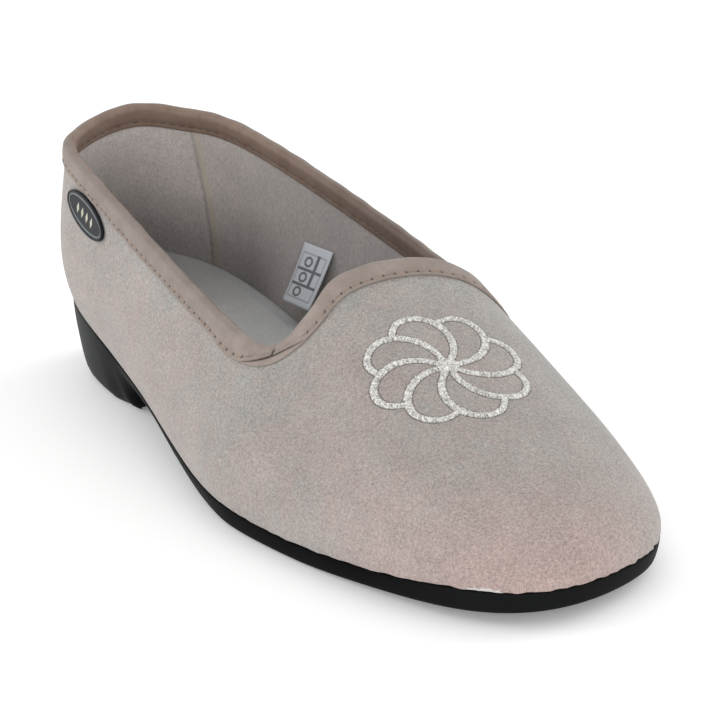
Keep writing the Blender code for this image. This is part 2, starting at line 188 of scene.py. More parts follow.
# Section of the lip at a dip: share of its open part above the tape's edge, further depth, height off the
# cloth, and how dark the painted shade makes it in the crack under the flap
LIP_TUCK = 0.0009
LipStep = namedtuple("LipStep", "share deeper off dark")
LIP_SECTION = (
    LipStep(1.00, -LIP_TUCK, 0.00008, 1.0),
    LipStep(0.00, 0.00005, 0.00003, 0.0),
    LipStep(0.00, 0.00018, 0.00022, 0.0),
    LipStep(0.00, 0.00000, 0.00046, 0.0),
    LipStep(0.35, 0.00000, 0.00050, 0.0),
    LipStep(0.70, 0.00000, 0.00036, 0.3),
    LipStep(1.00, 0.00000, 0.00020, 0.9),
    LipStep(1.00, -LIP_TUCK, 0.00014, 1.0),
)

# Threads: half thickness, height of the arch, depth of its ends, turn from the row's run, jitter and seed
Thread = namedtuple("Thread", "radius arch sink turn jitter seed")
THREAD_INPUTS = dict.fromkeys(("Thread", "Arch", "Sink", "Turn", "Jitter"), "Float") | {"Seed": "Int"}
THREAD_BENDS = 5
THREAD_SIDES = 6
COLLAR_THREAD = Thread(0.00021, 0.00022, 0.00028, 0.06, 0.07, 11)
COLLAR_SPAN = 0.0025
OUTER_STITCH_OFF = 0.00048
INNER_STITCH_OFF = 0.00056

# Flower: one line from the hub outwards, round the petal's tip and on to the next line, as shares of the
# flower's radius and degrees from where the line leaves the hub, and the width of its satin stitches
Turn = namedtuple("Turn", "radius degrees width")
PETAL_LINE = (
    Turn(0.10, 0, 0.0018),
    Turn(0.27, 1, 0.0018),
    Turn(0.53, 10, 0.0020),
    Turn(0.80, 24, 0.0020),
    Turn(0.97, 39, 0.0019),
    Turn(0.99, 56, 0.0018),
    Turn(0.85, 71, 0.0016),
)
PETALS = 8
PETAL_FINE = 400
FLOWER_RADIUS = 0.0200
# Margin of a ribbon of painted shadow beside the flower's lines, where the stitches pull the cloth in
FLOWER_SHADOW_MARGIN = 0.00030
BED_PITCH = 0.0006
BED_SINK = 0.0001
BED_SECTION = ((-1.0, 0), (-0.98, 0.02), (-0.6, 0.75), (0.0, 1.0), (0.6, 0.75), (0.98, 0.02), (1.0, 0))
# Crown of that ribbon of painted shadow
FLOWER_SHADOW_CROWN = 0.00008
BED_CROWN = 0.00030
SATIN_PITCH = 0.00027
SATIN_OFF = 0.00020
SATIN_SPREAD = (0.70, 1.15)
SATIN_SEED = 21
SATIN_PASSES = (
    Thread(0.00015, 0.00030, 0.00016, 1.25, 0.45, 3),
    Thread(0.00015, 0.00038, 0.00016, 1.90, 0.45, 7),
)
HUB_RADIUS = 0.0015
HUB_SPAN = 0.0028
HUB_OFF = 0.00045
HUB_THREADS = 34
HUB_THREAD = Thread(0.00020, 0.00025, 0.00025, np.pi / 2, 0.30, 5)

# Badge and label
BADGE_LENGTH = 0.0256
BADGE_WIDTH = 0.0097
BADGE_POINTS = 96
BadgeStep = namedtuple("BadgeStep", "inset off")
BADGE_EDGE = (
    BadgeStep(0.00000, GAP),
    BadgeStep(0.00000, 0.00085),
    BadgeStep(0.00015, 0.00112),
    BadgeStep(0.00045, 0.00120),
    BadgeStep(0.00080, 0.00112),
    BadgeStep(0.00105, 0.00090),
)
BADGE_FIELD_OFF = 0.00088
BADGE_FIELD_INSETS = (0.0012, 0.0016, 0.0021, 0.0027, 0.0034, 0.0041, 0.0047)
LABEL_WIDTH = 0.0134
LABEL_LENGTH = 0.0175
LABEL_THICKNESS = 0.0004
LABEL_LEAN = 0.0062
LABEL_ROWS = 21
LABEL_COLUMNS = 15

# Insole sock: its rolled edge as further inset and height above the seat, and the welt along its inner side
INSOLE_INSET = 0.0028
INSOLE_THICKNESS = 0.0030
INSOLE_ROLL = 0.0026
INSOLE_DROP = 0.0008
INSOLE_EDGE = ((0.0006, 0.0001), (0.0001, 0.0006), (-0.0006, 0.0014), (-0.0004, 0.0022))
WELT_INSET = 0.0042
WELT_HALF = 0.00075
WELT_HEIGHT = 0.00025
WELT_MIDDLE = 0.100
WELT_REACH = 0.062

# Sole's side from the underside up, as shares of its drop, and the rim under the upper as inset and depth
SIDE_ROWS = (1, 0.985, 0.96, 0.92, 0.86, 0.78, 0.68, 0.57, 0.45, 0.33, 0.22, 0.13, 0.06)
RIM_ROWS = ((0.00008, 0.00012), (0.00035, 0.00002), (0.0012, 0.0))

# Tread under heel and forefoot: wavy grooves that stop short of the edge and of the raised arch
TREAD_PITCH = 0.0056
TREAD_DEPTH = 0.0006
TREAD_MARGIN = 0.0050
TREAD_EASE = 0.0015
TREAD_SWING = 0.0012
TREAD_SWING_LENGTH = 0.016
TREAD_LIFT_LIMIT = 0.0004
TREAD_STEEPNESS = 2
TREAD_LAND = 0.6

# Places on the wall: ribs counted round the shoe, share of the rib's height, and turn in the wall's plane
Spot = namedtuple("Spot", "rib share degrees")
FLOWER_SPOT = Spot(6.97, 0.725, 37)
BADGE_SPOT = Spot(2.13, 0.747, -2)
LABEL_SPOT = Spot(11.33, 0.365, -8)

# Lining seams lean from low on the wall to high on it; glue shows on the outer edge near the toe
SEAM_LOW = Spot(12.64, 0.04, 0)
SEAM_HIGH = Spot(12.88, 0.88, 0)
SEAM_RIDGE = 0.00018
SEAM_HALF = 0.0009
GLUE_RIBS = (5.91, 6.19)
GLUE_SHARE = 0.035

# Fineness: stations for each rib, rows up the cloth and the lining on both faces, columns across the foot
WALL_FINE = 36
CLOTH_ROWS = 60
CLOTH_CROWDING = 0.6
CLOTH_BACK_ROWS = 16
LINING_ROWS = 44
LINING_BACK_ROWS = 8
SOLE_FINE = 60
INSOLE_FINE = 24
SOLE_COLUMNS = 60
INSOLE_COLUMNS = 40

# View of the photograph, closed in on the one shoe: the camera's place, its aim, its roll and its lens
CAMERA_SPOT = np.array((0.3497, 0.7031, 0.2628))
CAMERA_AIM = np.array((-0.0201, 0.1100, 0.0197))
CAMERA_ROLL = np.radians(-1.85)
CAMERA_LENS = 134
SENSOR_WIDTH = 36
CAMERA_NEAREST = 0.01

# Colours of cloth, tape, felt, rubber, badge, label and studio
TAUPE_GREY = (0.292, 0.281, 0.264, 1)
TAUPE_PINK = (0.336, 0.275, 0.254, 1)
TOE_PINK = (0.402, 0.298, 0.272, 1)
# Painted sheen: paler grey on the ridge of the vamp's inner side towards the toe
RIDGE_SHEEN_GREY = (0.328, 0.319, 0.301, 1)
GLUE_WHITE = (0.55, 0.53, 0.51, 1)
# Painted shadow in the ribbon beside the flower's lines
FLOWER_SHADOW_DARK = (0.125, 0.112, 0.102, 1)
FLOWER_SHADOW_LIGHT = (0.215, 0.190, 0.175, 1)
FLANNEL_DARK = (0.43, 0.39, 0.37, 1)
FLANNEL_LIGHT = (0.58, 0.53, 0.51, 1)
SEAM_TAPE_CREAM = (0.52, 0.46, 0.35, 1)
SATIN_DARK = (0.212, 0.172, 0.149, 1)
SATIN_LIGHT = (0.256, 0.211, 0.184, 1)
# Painted shade: the tape's inner side, darker than its outer side
SATIN_INNER_SHADED_DARK = (0.178, 0.116, 0.085, 1)
SATIN_INNER_SHADED_LIGHT = (0.222, 0.154, 0.119, 1)
FELT_DARK = (0.320, 0.324, 0.317, 1)
FELT_LIGHT = (0.425, 0.428, 0.418, 1)
WELT_BLUE = (0.290, 0.310, 0.355, 1)
RUBBER_BLACK = (0.0015, 0.0015, 0.0017, 1)
# Dust and scuffs, and also painted reflection on the heel and a painted highlight at the toe
RUBBER_DUST_AND_REFLECTION = (0.053, 0.056, 0.055, 1)
BADGE_NAVY = (0.0055, 0.0075, 0.0120, 1)
BADGE_RING_GREY = (0.15, 0.165, 0.165, 1)
LOZENGE_CREAM = (0.44, 0.43, 0.34, 1)
LABEL_PALE = (0.50, 0.525, 0.56, 1)
LABEL_FRAME_GREY = (0.17, 0.185, 0.21, 1)
LABEL_DARK = (0.085, 0.095, 0.105, 1)
FLOOR_DARK = (0.90, 0.90, 0.90, 1)
FLOOR_LIGHT = (0.92, 0.92, 0.92, 1)
WHITE = (1, 1, 1, 1)

# Yarns: darkest and lightest tint, roughness, glint of the coat, and share of the sparkle
Yarn = namedtuple("Yarn", "name dark light roughness glint sparkle")
TAN_YARN = Yarn("tan_thread", (0.170, 0.112, 0.074, 1), (0.370, 0.262, 0.176, 1), 0.50, 0.0, 0.3)
BROWN_YARN = Yarn("dark_brown_thread", (0.065, 0.036, 0.025, 1), (0.170, 0.106, 0.074, 1), 0.50, 0.0, 0.3)
IVORY_YARN = Yarn("ivory_thread", (0.22, 0.205, 0.190, 1), (0.90, 0.885, 0.855, 1), 0.30, 0.3, 0.6)

# Stretches over which the colours change: a noise's middle range, places in the frame, shares of the wall
NOISE_MIDDLE = (0.3, 0.7)
TOE_PINK_ALONG = (0.05, 0.125)
TOE_PINK_UP = (0.012, 0.040)
# Where painted light and shade come and go: sheen on the ridge, shade in the lining, light and shade on the
# tape, shade on the felt, a reflection on the heel and a highlight at the toe
RIDGE_SHEEN_ACROSS = (-0.036, 0.004)
RIDGE_SHEEN_ALONG = (0.0, 0.03)
LINING_SHADE_ALONG = (-0.115, -0.040)
LINING_LOW_SHADE_ALONG = (-0.085, -0.060)
LINING_LOW_SHADE_SHARES = (0.05, 0.60)
TAPE_PAINTED_LIGHT_ALONG = (-0.01, 0.03)
TAPE_INNER_SHADE_ALONG = (-0.085, -0.010)
FELT_SHADE_ALONG = (-0.095, -0.055)
HEEL_REFLECTION_ALONG = (-0.105, -0.065)
TOE_HIGHLIGHT_ALONG = (0.075, 0.115)

# Marks of the lining's seams, the badge and the label, in millimetres from their middle or edge
SEAM_TAPE_BAND = ((0.5, 1.0), (2.6, 3.2))
# The crease band is painted shade along each seam's crease
SEAM_CREASE_BAND = ((-1.3, -0.1), (0.1, 0.9))
BADGE_RING_BAND = ((0.95, 1.15), (1.45, 1.65))
LOZENGE_PITCH = 1.6
LOZENGE_ROW_END = (6.3, 6.5)
LABEL_MIDDLE = (0.1, -0.2)
LABEL_FRAME_OUTER = (5.6, 6.7)
LABEL_FRAME_INNER = (5.1, 6.2)
LABEL_BARS = (1.7, -2.7)
LABEL_BAR_HALF = 0.40
LABEL_COLUMN_AT = (-2.0, 2.0)
LABEL_COLUMN_HALF = (0.65, 4.6)
LABEL_RINGS = (4.0, -0.5, -4.8)
LABEL_RING_SIDE = 1.8
LABEL_RING_RADIUS = 1.25
LABEL_RING_HALF = 0.35
LABEL_BLUR = 0.15

# Studio: the floor with the light that it adds, the light of the room, and soft lamps about the shoe
FLOOR_HALF = 8.0
FLOOR_DROP = 0.0002
FLOOR_GLOW = 0.16
ROOM_LIGHT = 0.71
LAMP_AIM = (0, 0, 0.03)
Lamp = namedtuple("Lamp", "name spot size power")
LAMPS = (
    Lamp("top_softbox", (-0.10, -0.15, 1.6), 1.3, 2),
    Lamp("front_softbox", (1.1, 1.55, 0.6), 1.2, 13),
    Lamp("heel_softbox", (1.2, -1.1, 0.7), 1.2, 11),
    Lamp("inner_fill", (-1.5, 0.0, 0.9), 1.2, 9),
    Lamp("toe_fill", (-0.9, 1.4, 0.8), 1.0, 2),
)

# Working values: millimetres in a metre, step for slopes, depth steps below the top line, rounds of the
# search on the wall, and points along the top line
MILLIMETRES = 1000
DELTA = 1e-4
DEPTH_STEP = 0.0005
DEPTH_ROWS = 18
LAY_ROUNDS = 12
TOP_POINTS = 4200


# Lines and curves

def unit(vectors):
    return vectors / np.linalg.norm(vectors, axis=-1, keepdims=True)


def compass(turn):
    """Flat unit directions at angles."""
    return np.stack([np.cos(turn), np.sin(turn)], axis=1)


def even_turns(count):
    """Even angles once round."""
    return np.arange(count) * 2 * np.pi / count


def ramp(value, low, high):
    """Share of the way from low to high, kept from 0 to 1."""
    return np.clip((value - low) / (high - low), 0, 1)


def bell(value, middle, half, power=2):
    """1 in the middle, falling away past the half width, the more steeply the higher the power."""
    return np.exp(-((value - middle) / half) ** power)


def loop_steps(rows):
    """From the row before to the row after, for each row of a closed loop."""
    return np.roll(rows, -1, axis=0) - np.roll(rows, 1, axis=0)


def run_lengths(points):
    """Length of a line of points from its start to each of them."""
    return np.concatenate([[0], np.cumsum(np.linalg.norm(np.diff(points, axis=0), axis=1))])


def hermite(first, last, first_slope, last_slope, t):
    """Cubic from first to last while t goes from 0 to 1, with its slopes at both ends."""
    start = first * (1 + 2 * t) + first_slope * t
    end = last * (3 - 2 * t) - last_slope * (1 - t)
    return start * (1 - t) ** 2 + end * t ** 2


def closed_spline(rows):
    """Periodic cubic through the rows, one unit of s from each row to the next."""
    rows = np.array(rows)
    count = len(rows)
    step = np.roll(np.eye(count), 1, axis=1)
    slopes = np.linalg.solve(4 * np.eye(count) + step + step.T, 3 * loop_steps(rows))

    def value(s):
        first = np.floor(s).astype(int) % count
        last = (first + 1) % count
        t = (s - np.floor(s))[..., None]
        return hermite(rows[first], rows[last], slopes[first], slopes[last], t)

    return value


def monotone(place, value):
    """Monotone cubic through values at rising places."""
    place = np.array(place, float)
    value = np.array(value, float)
    grade = np.diff(value) / np.diff(place)
    slope = np.concatenate([grade[:1], np.zeros(len(place) - 2), grade[-1:]])
    for i in range(1, len(place) - 1):
        if grade[i - 1] * grade[i] > 0:
            slope[i] = 2 * grade[i - 1] * grade[i] / (grade[i - 1] + grade[i])

    def at(y):
        i = np.clip(np.searchsorted(place, y) - 1, 0, len(place) - 2)
        run = place[i + 1] - place[i]
        return hermite(value[i], value[i + 1], slope[i] * run, slope[i + 1] * run, (y - place[i]) / run)

    return at


# Shape of the wall

def along_shoe(column):
    """One column of the sole's sections as a curve along the shoe."""
    place = [section.at * LENGTH for section in SOLE_SECTIONS]
    return monotone(place, [getattr(section, column) for section in SOLE_SECTIONS])


def rib_row(rib):
    """One rib in metres, its aim as a level unit vector."""
    aim = np.radians(rib.aim_degrees)
    foot = (rib.foot_side * BALL_WIDTH, rib.foot_at * LENGTH)
    top = (rib.top_side * BALL_WIDTH, rib.top_at * LENGTH, rib.top_up)
    return (*foot, *top, rib.rise, rib.swell, rib.fall, rib.spread, np.cos(aim), np.sin(aim))


rib_at = closed_spline([rib_row(rib) for rib in RIBS])
seat_at = along_shoe("seat")
under_at = along_shoe("under")
tuck_at = along_shoe("tuck")
side_tuck = monotone(SIDE_DROPS, SIDE_TUCKS)


def feather_edge(s):
    """The closed line where the upper meets the sole."""
    x, y = np.moveaxis(rib_at(s)[..., :2], -1, 0)
    return np.stack([x, y, seat_at(y)], axis=-1)


def feather_outward(s):
    """Level normal of the feather edge, away from the foot."""
    x, y = np.moveaxis(rib_at(s + DELTA)[..., :2] - rib_at(s - DELTA)[..., :2], -1, 0)
    return unit(np.stack([y, -x, 0 * x], axis=-1))


def wall(s, h):
    """Outer face of the upper: s counts ribs, h goes from the feather edge, 0, to the top line, 1."""
    s, h = np.broadcast_arrays(np.asarray(s, float), np.asarray(h, float))
    row = rib_at(s)
    rise, swell, fall, spread, aim_x, aim_y = np.moveaxis(row[..., 5:, None], -2, 0)
    upward = np.array([0.0, 0.0, 1.0])
    aim = unit(np.concatenate([aim_x, aim_y, 0 * aim_x], axis=-1))
    foot = feather_edge(s)
    top = row[..., 2:5]
    low = foot + feather_outward(s) * swell + upward * rise
    high = top + aim * spread - upward * fall
    h = h[..., None]
    return (1 - h) ** 3 * foot + 3 * h * (1 - h) ** 2 * low + 3 * h ** 2 * (1 - h) * high + h ** 3 * top


def wall_slopes(s, h):
    """Slopes of the wall along the ribs' count and up the ribs."""
    along = (wall(s + DELTA, h) - wall(s - DELTA, h)) / (2 * DELTA)
    upward = (wall(s, h + DELTA) - wall(s, h - DELTA)) / (2 * DELTA)
    return along, upward


def outward(s, h):
    """Normal of the wall, away from the foot."""
    along, upward = wall_slopes(s, h)
    return unit(np.cross(along, upward))


def spot_axes(spot):
    """Centre of a spot, and its across, up and outward directions."""
    here = (np.array(float(spot.rib)), np.array(float(spot.share)))
    normal = outward(*here)
    level = unit(wall_slopes(*here)[0])
    turn = np.radians(spot.degrees)
    across = level * np.cos(turn) + np.cross(normal, level) * np.sin(turn)
    return wall(*here), np.stack([across, np.cross(normal, across), normal])


def relief(place, s):
    """Height of the folds and of the toe's puckers at points of the wall."""
    height = np.zeros(place.shape[:-1])
    for fold in FOLDS:
        centre, axes = spot_axes(fold)
        size = np.array([fold.length, fold.width, fold.length])
        height += fold.height * np.exp(-(((place - centre) @ axes.T / size) ** 2).sum(axis=-1))
    turn = 2 * np.pi * s / len(RIBS)
    wave = sum(np.sin(turn * count + start) for count, start in PUCKER_WAVES)
    low = np.exp(-(place[..., 2] - feather_edge(s)[..., 2]) / PUCKER_REACH)
    toe = bell(s, *PUCKER_TOE, 4)
    return height + PUCKER_HEIGHT * wave * low * toe


def skin(s, h, off=0.0):
    """The wall with its relief, moved outwards by a height off its face."""
    s, h = np.broadcast_arrays(np.asarray(s, float), np.asarray(h, float))
    place = wall(s, h)
    return place + outward(s, h) * (relief(place, s) + off)[..., None]


def find_on_wall(flat, spot):
    """Ribs and shares where flat points (across, up) come to lie on the wall about a spot."""
    centre, axes = spot_axes(spot)
    s = np.full(len(flat), float(spot.rib))
    h = np.full(len(flat), float(spot.share))
    for _ in range(LAY_ROUNDS):
        miss = flat - (wall(s, h) - centre) @ axes[:2].T
        along, upward = wall_slopes(s, h)
        slopes = np.stack([along @ axes[:2].T, upward @ axes[:2].T], axis=-1)
        move = np.linalg.solve(slopes, miss[..., None])[..., 0]
        s = s + move[:, 0]
        h = h + move[:, 1]
    return s, h


def stations(steps):
    """Even stations round the shoe, so many to each rib."""
    return np.arange(len(RIBS) * steps) / steps


def frame_shift():
    """From the shoe's own place to the frame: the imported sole's box is that of the feather edge."""
    edge = feather_edge(stations(SOLE_STEPS))
    low, high = (np.array(corner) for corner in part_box("sole"))
    shift = (low + high) / 2 - (edge.min(axis=0) + edge.max(axis=0)) / 2
    shift[2] = 0
    return shift


SHIFT = frame_shift()


# The collar's run: even stations along the top line, and shares of the ribs' height below it

RUN_RIBS = np.linspace(0, len(RIBS), TOP_POINTS + 1)
RUN_LENGTHS = run_lengths(wall(RUN_RIBS, 1.0))
STITCHES = int(round(RUN_LENGTHS[-1] / STITCH_PITCH))
TAPE_RUN = np.arange(STITCHES * STATIONS_A_STITCH) / (STITCHES * STATIONS_A_STITCH) * RUN_LENGTHS[-1]
TAPE_RIBS = np.interp(TAPE_RUN, RUN_LENGTHS, RUN_RIBS)


def depth_table():
    """Shares of the rib's height at even depths below the top line, for every station of the tape."""
    rows = [np.ones_like(TAPE_RIBS)]
    for _ in range(DEPTH_ROWS):
        rows.append(rows[-1] - DEPTH_STEP / np.linalg.norm(wall_slopes(TAPE_RIBS, rows[-1])[1], axis=-1))
    return np.array(rows)


TAPE_SHARES = depth_table()


def share_below(down):
    """Share of the rib's height at a depth below the top line, for every station of the tape."""
    place = np.broadcast_to(np.clip(down / DEPTH_STEP, 0, DEPTH_ROWS - 0.001), TAPE_RUN.shape)
    row = place.astype(int)
    column = np.arange(len(TAPE_RUN))
    part = place - row
    return TAPE_SHARES[row, column] * (1 - part) + TAPE_SHARES[row + 1, column] * part


def past_flap(dip):
    """Run from the flap's end at a dip, positive towards the toe."""
    return -dip.heelward * (TAPE_RUN - np.interp(dip.rib, RUN_RIBS, RUN_LENGTHS))


def lip_width(dip):
    """Width of the tape's lower lip that the flap leaves open."""
    share = ramp(past_flap(dip), -LIP_BACK, LIP_FRONT)
    return LIP_WIDTH * np.sin(np.pi * share) ** LIP_ROUNDING


def dip_spread(dip):
    """Extra width of the tape on both sides of a dip, where it is pulled round the curve."""
    return DIP_SPREAD * bell(np.abs(past_flap(dip)), DIP_SPREAD_AT, DIP_SPREAD_REACH)


def throat_spread():
    """Extra width of the tape along the throat, growing from both dips."""
    past = np.minimum(*(past_flap(dip) for dip in DIPS))
    share = ramp(past, *THROAT_SPREAD_RUN)
    return THROAT_SPREAD * share * share * (3 - 2 * share)


TAPE_EDGE = BINDING_WIDTH + sum(dip_spread(dip) for dip in DIPS) + throat_spread()
TAPE_HEM = TAPE_EDGE - sum(lip_width(dip) for dip in DIPS)
FLANGE_REACH = np.minimum((TAPE_HEM - FOLD_RADIUS - FLANGE_REST) / OUTER_FLANGE[-1].above, 1)


def flap_end(dip, down):
    """Run from the flap's leaning end at a depth below the top line, positive towards the toe."""
    return past_flap(dip) + FLAP_LEAN * (down - BINDING_WIDTH / 2)


def below_fold(down):
    """From 0 on the tape's fold to 1 well below it."""
    return ramp(down, *FLAP_FADE)


def notch(down):
    """From 0 to 1 in the crease at the end of each flap."""
    return sum(bell(flap_end(dip, down), NOTCH_WIDTH, NOTCH_WIDTH) for dip in DIPS) * below_fold(down)


def tape_lift(down):
    """Height of the tape at a depth below the top line: its slow waves, and at each dip the quarter's flap
    on the vamp's tape with the notch at the flap's end."""
    turn = 2 * np.pi * TAPE_RUN / RUN_LENGTHS[-1]
    lift = TAPE_WAVE_HEIGHT * sum(np.sin(count * turn + start) for count, start in TAPE_WAVES)
    for dip in DIPS:
        past = flap_end(dip, down)
        flap = np.where(past < 0, FLAP_HEIGHT * np.exp(np.minimum(past, 0) / FLAP_REACH), 0)
        lift = lift + flap * below_fold(down)
    return lift - NOTCH_DEPTH * notch(down)


def sewn():
    """1 where the tape's stitches show, 0 where they run under the flap at a dip."""
    bare = [(past_flap(dip) > -BARE_BACK) & (past_flap(dip) < BARE_FRONT) for dip in DIPS]
    return 1.0 - np.logical_or(*bare)


# Mesh tools

def ring_quads(rings, count, joined=False, closed=True):
    """Quads between rings of points. Joined also ties the last ring to the first."""
    row = np.arange(rings if joined else rings - 1)[:, None]
    column = np.arange(count if closed else count - 1)[None]
    above = (row + 1) % rings
    after = (column + 1) % count
    corners = (row * count + column, row * count + after, above * count + after, above * count + column)
    return np.stack(corners, axis=-1).reshape(-1, 4).tolist()


def tube_faces(rings, count):
    """Quads round a tube of open rings that lie side by side, with a cap at each end."""
    starts = [ring * count for ring in range(rings)]
    ends = [start + count - 1 for start in reversed(starts)]
    return [*ring_quads(rings, count, joined=True, closed=False), starts, ends]


def ladder(ring, columns, first, base, upward=True):
    """Points and faces that fill a loop, from rungs between its outer and inner side.

    The loop's own points are numbered from first on, and the new ones from base on.
    """
    count = len(ring)
    half = count // 2
    share = (np.arange(1, columns) / columns)[None, :, None]
    rungs = np.arange(1, half)
    points = ring[rungs, None] * (1 - share) + ring[count - rungs, None] * share

    def number(i, j):
        if i == 0 or i == half or j == 0:
            return first + i
        if j == columns:
            return first + count - i
        return base + (i - 1) * (columns - 1) + j - 1

    faces = []
    for i in range(half):
        for j in range(columns):
            corners = (number(i, j), number(i + 1, j), number(i + 1, j + 1), number(i, j + 1))
            faces.append(list(dict.fromkeys(corners if upward else corners[::-1])))
    return points.reshape(-1, 3), faces


def ladder_places(ring, columns):
    """For the points that fill a loop, the share of the way across and the loop's width there."""
    count = len(ring)
    rung = np.repeat(np.arange(1, count // 2), columns - 1)
    side = np.tile(np.arange(1, columns) / columns, count // 2 - 1)
    return side, np.linalg.norm(ring[rung] - ring[count - rung], axis=1)


def add_object(name, data):
    made = bpy.data.objects.new(name, data)
    bpy.context.scene.collection.objects.link(made)
    return made


def store(mesh, key, value, kind="FLOAT"):
    """A value or a direction at each point of a mesh."""
    layer = mesh.attributes.new(key, kind, "POINT")
    layer.data.foreach_set("value" if kind == "FLOAT" else "vector", np.ravel(value).astype(np.float32))


def add_piece(name, points, faces, material, replaces=(), values=()):
    """A finished piece in the frame, riding on the shoe, with point values for its material."""
    mesh = bpy.data.meshes.new(name)
    mesh.from_pydata((np.reshape(points, (-1, 3)) + SHIFT).tolist(), [], faces)
    for key, value in dict(values).items():
        store(mesh, key, value)
    return show(name, mesh, material, replaces)


def show(name, mesh, material, replaces=()):
    """A mesh as a piece that rides on the shoe and may take the place of solids."""
    mesh.shade_smooth()
    mesh.materials.clear()
    mesh.materials.append(material)
    piece = add_object(name, mesh)
    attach(piece, "root")
    if replaces:
        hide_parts(*replaces)
    return piece


# Materials

class Wire:
    """An output socket of a node tree. Arithmetic on it adds Math nodes."""

    def __init__(self, socket):
        self.socket = socket

    def node(self, kind, settings=(), sockets=(), output=0):
        """Any other node: its settings first, then the values or links of its sockets."""
        tree = self.socket.id_data
        made = tree.nodes.new(kind)
        for key, value in dict(settings).items():
            setattr(made, key, value)
        for key, value in dict(sockets).items():
            if isinstance(value, Wire):
                tree.links.new(value.socket, made.inputs[key])
            else:
                made.inputs[key].default_value = value
        return Wire(made.outputs[output])

    def math(self, operation, first, second):
        return self.node("ShaderNodeMath", {"operation": operation}, {0: first, 1: second})

    def __add__(self, other):
        return self.math("ADD", self, other)

    def __sub__(self, other):
        return self.math("SUBTRACT", self, other)

    def __mul__(self, other):
        return self.math("MULTIPLY", self, other)

    def __radd__(self, other):
        return self.math("ADD", other, self)

    def __rsub__(self, other):
        return self.math("SUBTRACT", other, self)

    def __rmul__(self, other):
        return self.math("MULTIPLY", other, self)

    def step(self, low, high):
        """Soft step from 0 at low to 1 at high."""
        sockets = {"Value": self, "From Min": low, "From Max": high}
        return self.node("ShaderNodeMapRange", {"interpolation_type": "SMOOTHSTEP"}, sockets)

    def band(self, rise, fall):
        """1 between a soft rise and a soft fall."""
        return self.step(*rise) * (1 - self.step(*fall))

    def far(self, middle=0.0):
        """Distance from a middle value."""
        return self.node("ShaderNodeMath", {"operation": "ABSOLUTE"}, {0: self - middle})

    def stretched(self, x, y, z):
        return self.node("ShaderNodeVectorMath", {"operation": "MULTIPLY"}, {0: self, 1: (x, y, z)})

    def noise(self, scale, detail=2.0, rough=0.5):
        sockets = {"Vector": self, "Scale": scale, "Detail": detail, "Roughness": rough}
        return self.node("ShaderNodeTexNoise", {}, sockets)

    def value(self, name):
        """A point value stored on the mesh."""
        return self.node("ShaderNodeAttribute", {"attribute_name": name}, {}, "Fac")

    def axis(self, name):
        return self.node("ShaderNodeSeparateXYZ", {}, {0: self}, name)

    def blend(self, first, second):
        """Colour from first to second, with this wire as the factor. Sockets 6 and 7 take the colours."""
        return self.node("ShaderNodeMix", {"data_type": "RGBA"}, {0: self, 6: first, 7: second}, 2)

    def tones(self, dark, light):
        """Colour from dark to light over the middle of a noise's range."""
        return self.step(*NOISE_MIDDLE).blend(dark, light)

    def scaled(self, factor):
        """Colour times a factor."""
        return self.node("ShaderNodeVectorMath", {"operation": "SCALE"}, {0: self, "Scale": factor})


def new_material(name):
    """A material, its shader, and the wire of its object coordinates."""
    material = bpy.data.materials.new(name)
    material.use_nodes = True
    tree = material.node_tree
    place = Wire(tree.nodes.new("ShaderNodeTexCoord").outputs["Object"])
    return material, tree.nodes["Principled BSDF"], place


def paint(shader, colour, roughness, bump, distance, strength, **constants):
    """Link colour, roughness and bump, and set the shader's other sockets."""
    links = shader.id_data.links
    links.new(colour.socket, shader.inputs["Base Color"])
    links.new(roughness.socket, shader.inputs["Roughness"])
    sockets = {"Height": bump, "Distance": distance, "Strength": strength}
    links.new(bump.node("ShaderNodeBump", {}, sockets).socket, shader.inputs["Normal"])
    for key, value in constants.items():
        shader.inputs[key.replace("_", " ")].default_value = value


def microfibre():
    """Napped taupe cloth: brushed patches of grey and pink, fine fibre specks, glue at the toe's edge."""
    material, shader, place = new_material("taupe_microfibre")
    patch = place.noise(26, 4.0, 0.55).step(0.36, 0.64)
    cloud = place.noise(48, 3.0, 0.55)
    brushed = place.stretched(1.0, 0.55, 1.0).noise(120, 3.0, 0.6)
    speck = place.noise(1300, 2.0, 0.7)
    fleck = place.noise(2600, 1.0)
    mottle = place.noise(210, 2.0, 0.6).step(0.35, 0.65)
    across, along, up = (place.axis(axis) for axis in "XYZ")
    toe = along.step(*TOE_PINK_ALONG) * (1 - up.step(*TOE_PINK_UP))
    # Painted sheen greys the vamp's inner side towards the toe
    ridge = (1 - across.step(*RIDGE_SHEEN_ACROSS)) * along.step(*RIDGE_SHEEN_ALONG)
    colour = (patch * 0.45 + mottle * 0.35).blend(TAUPE_GREY, TAUPE_PINK)
    colour = (toe * 0.85).blend(colour, TOE_PINK)
    colour = (ridge * 0.75).blend(colour, RIDGE_SHEEN_GREY)
    shade = 0.02 + cloud * 0.16 + brushed * 0.30 + speck * 0.95 + fleck * 0.55
    glue = (place.value("glue") * 0.9 + speck * 0.7 + brushed * 0.4).step(1.18, 1.34)
    colour = glue.blend(colour.scaled(shade), GLUE_WHITE)
    bump = speck * 0.6 + fleck * 0.4 + brushed * 0.5
    nap = {"Sheen_Weight": 0.18, "Sheen_Roughness": 0.45}
    paint(shader, colour, 0.94 - glue * 0.3, bump, distance=0.00026, strength=0.85, **nap)
    return material


def flower_shadow_cloth():
    """The same cloth, pressed flat by the flower's stitches and darkened with painted shadow."""
    material, shader, place = new_material("flower_shadow_microfibre")
    speck = place.noise(1300, 2.0, 0.7)
    colour = speck.tones(FLOWER_SHADOW_DARK, FLOWER_SHADOW_LIGHT)
    paint(shader, colour, 0.85 + speck * 0.1, speck, distance=0.00010, strength=0.6)
    return material


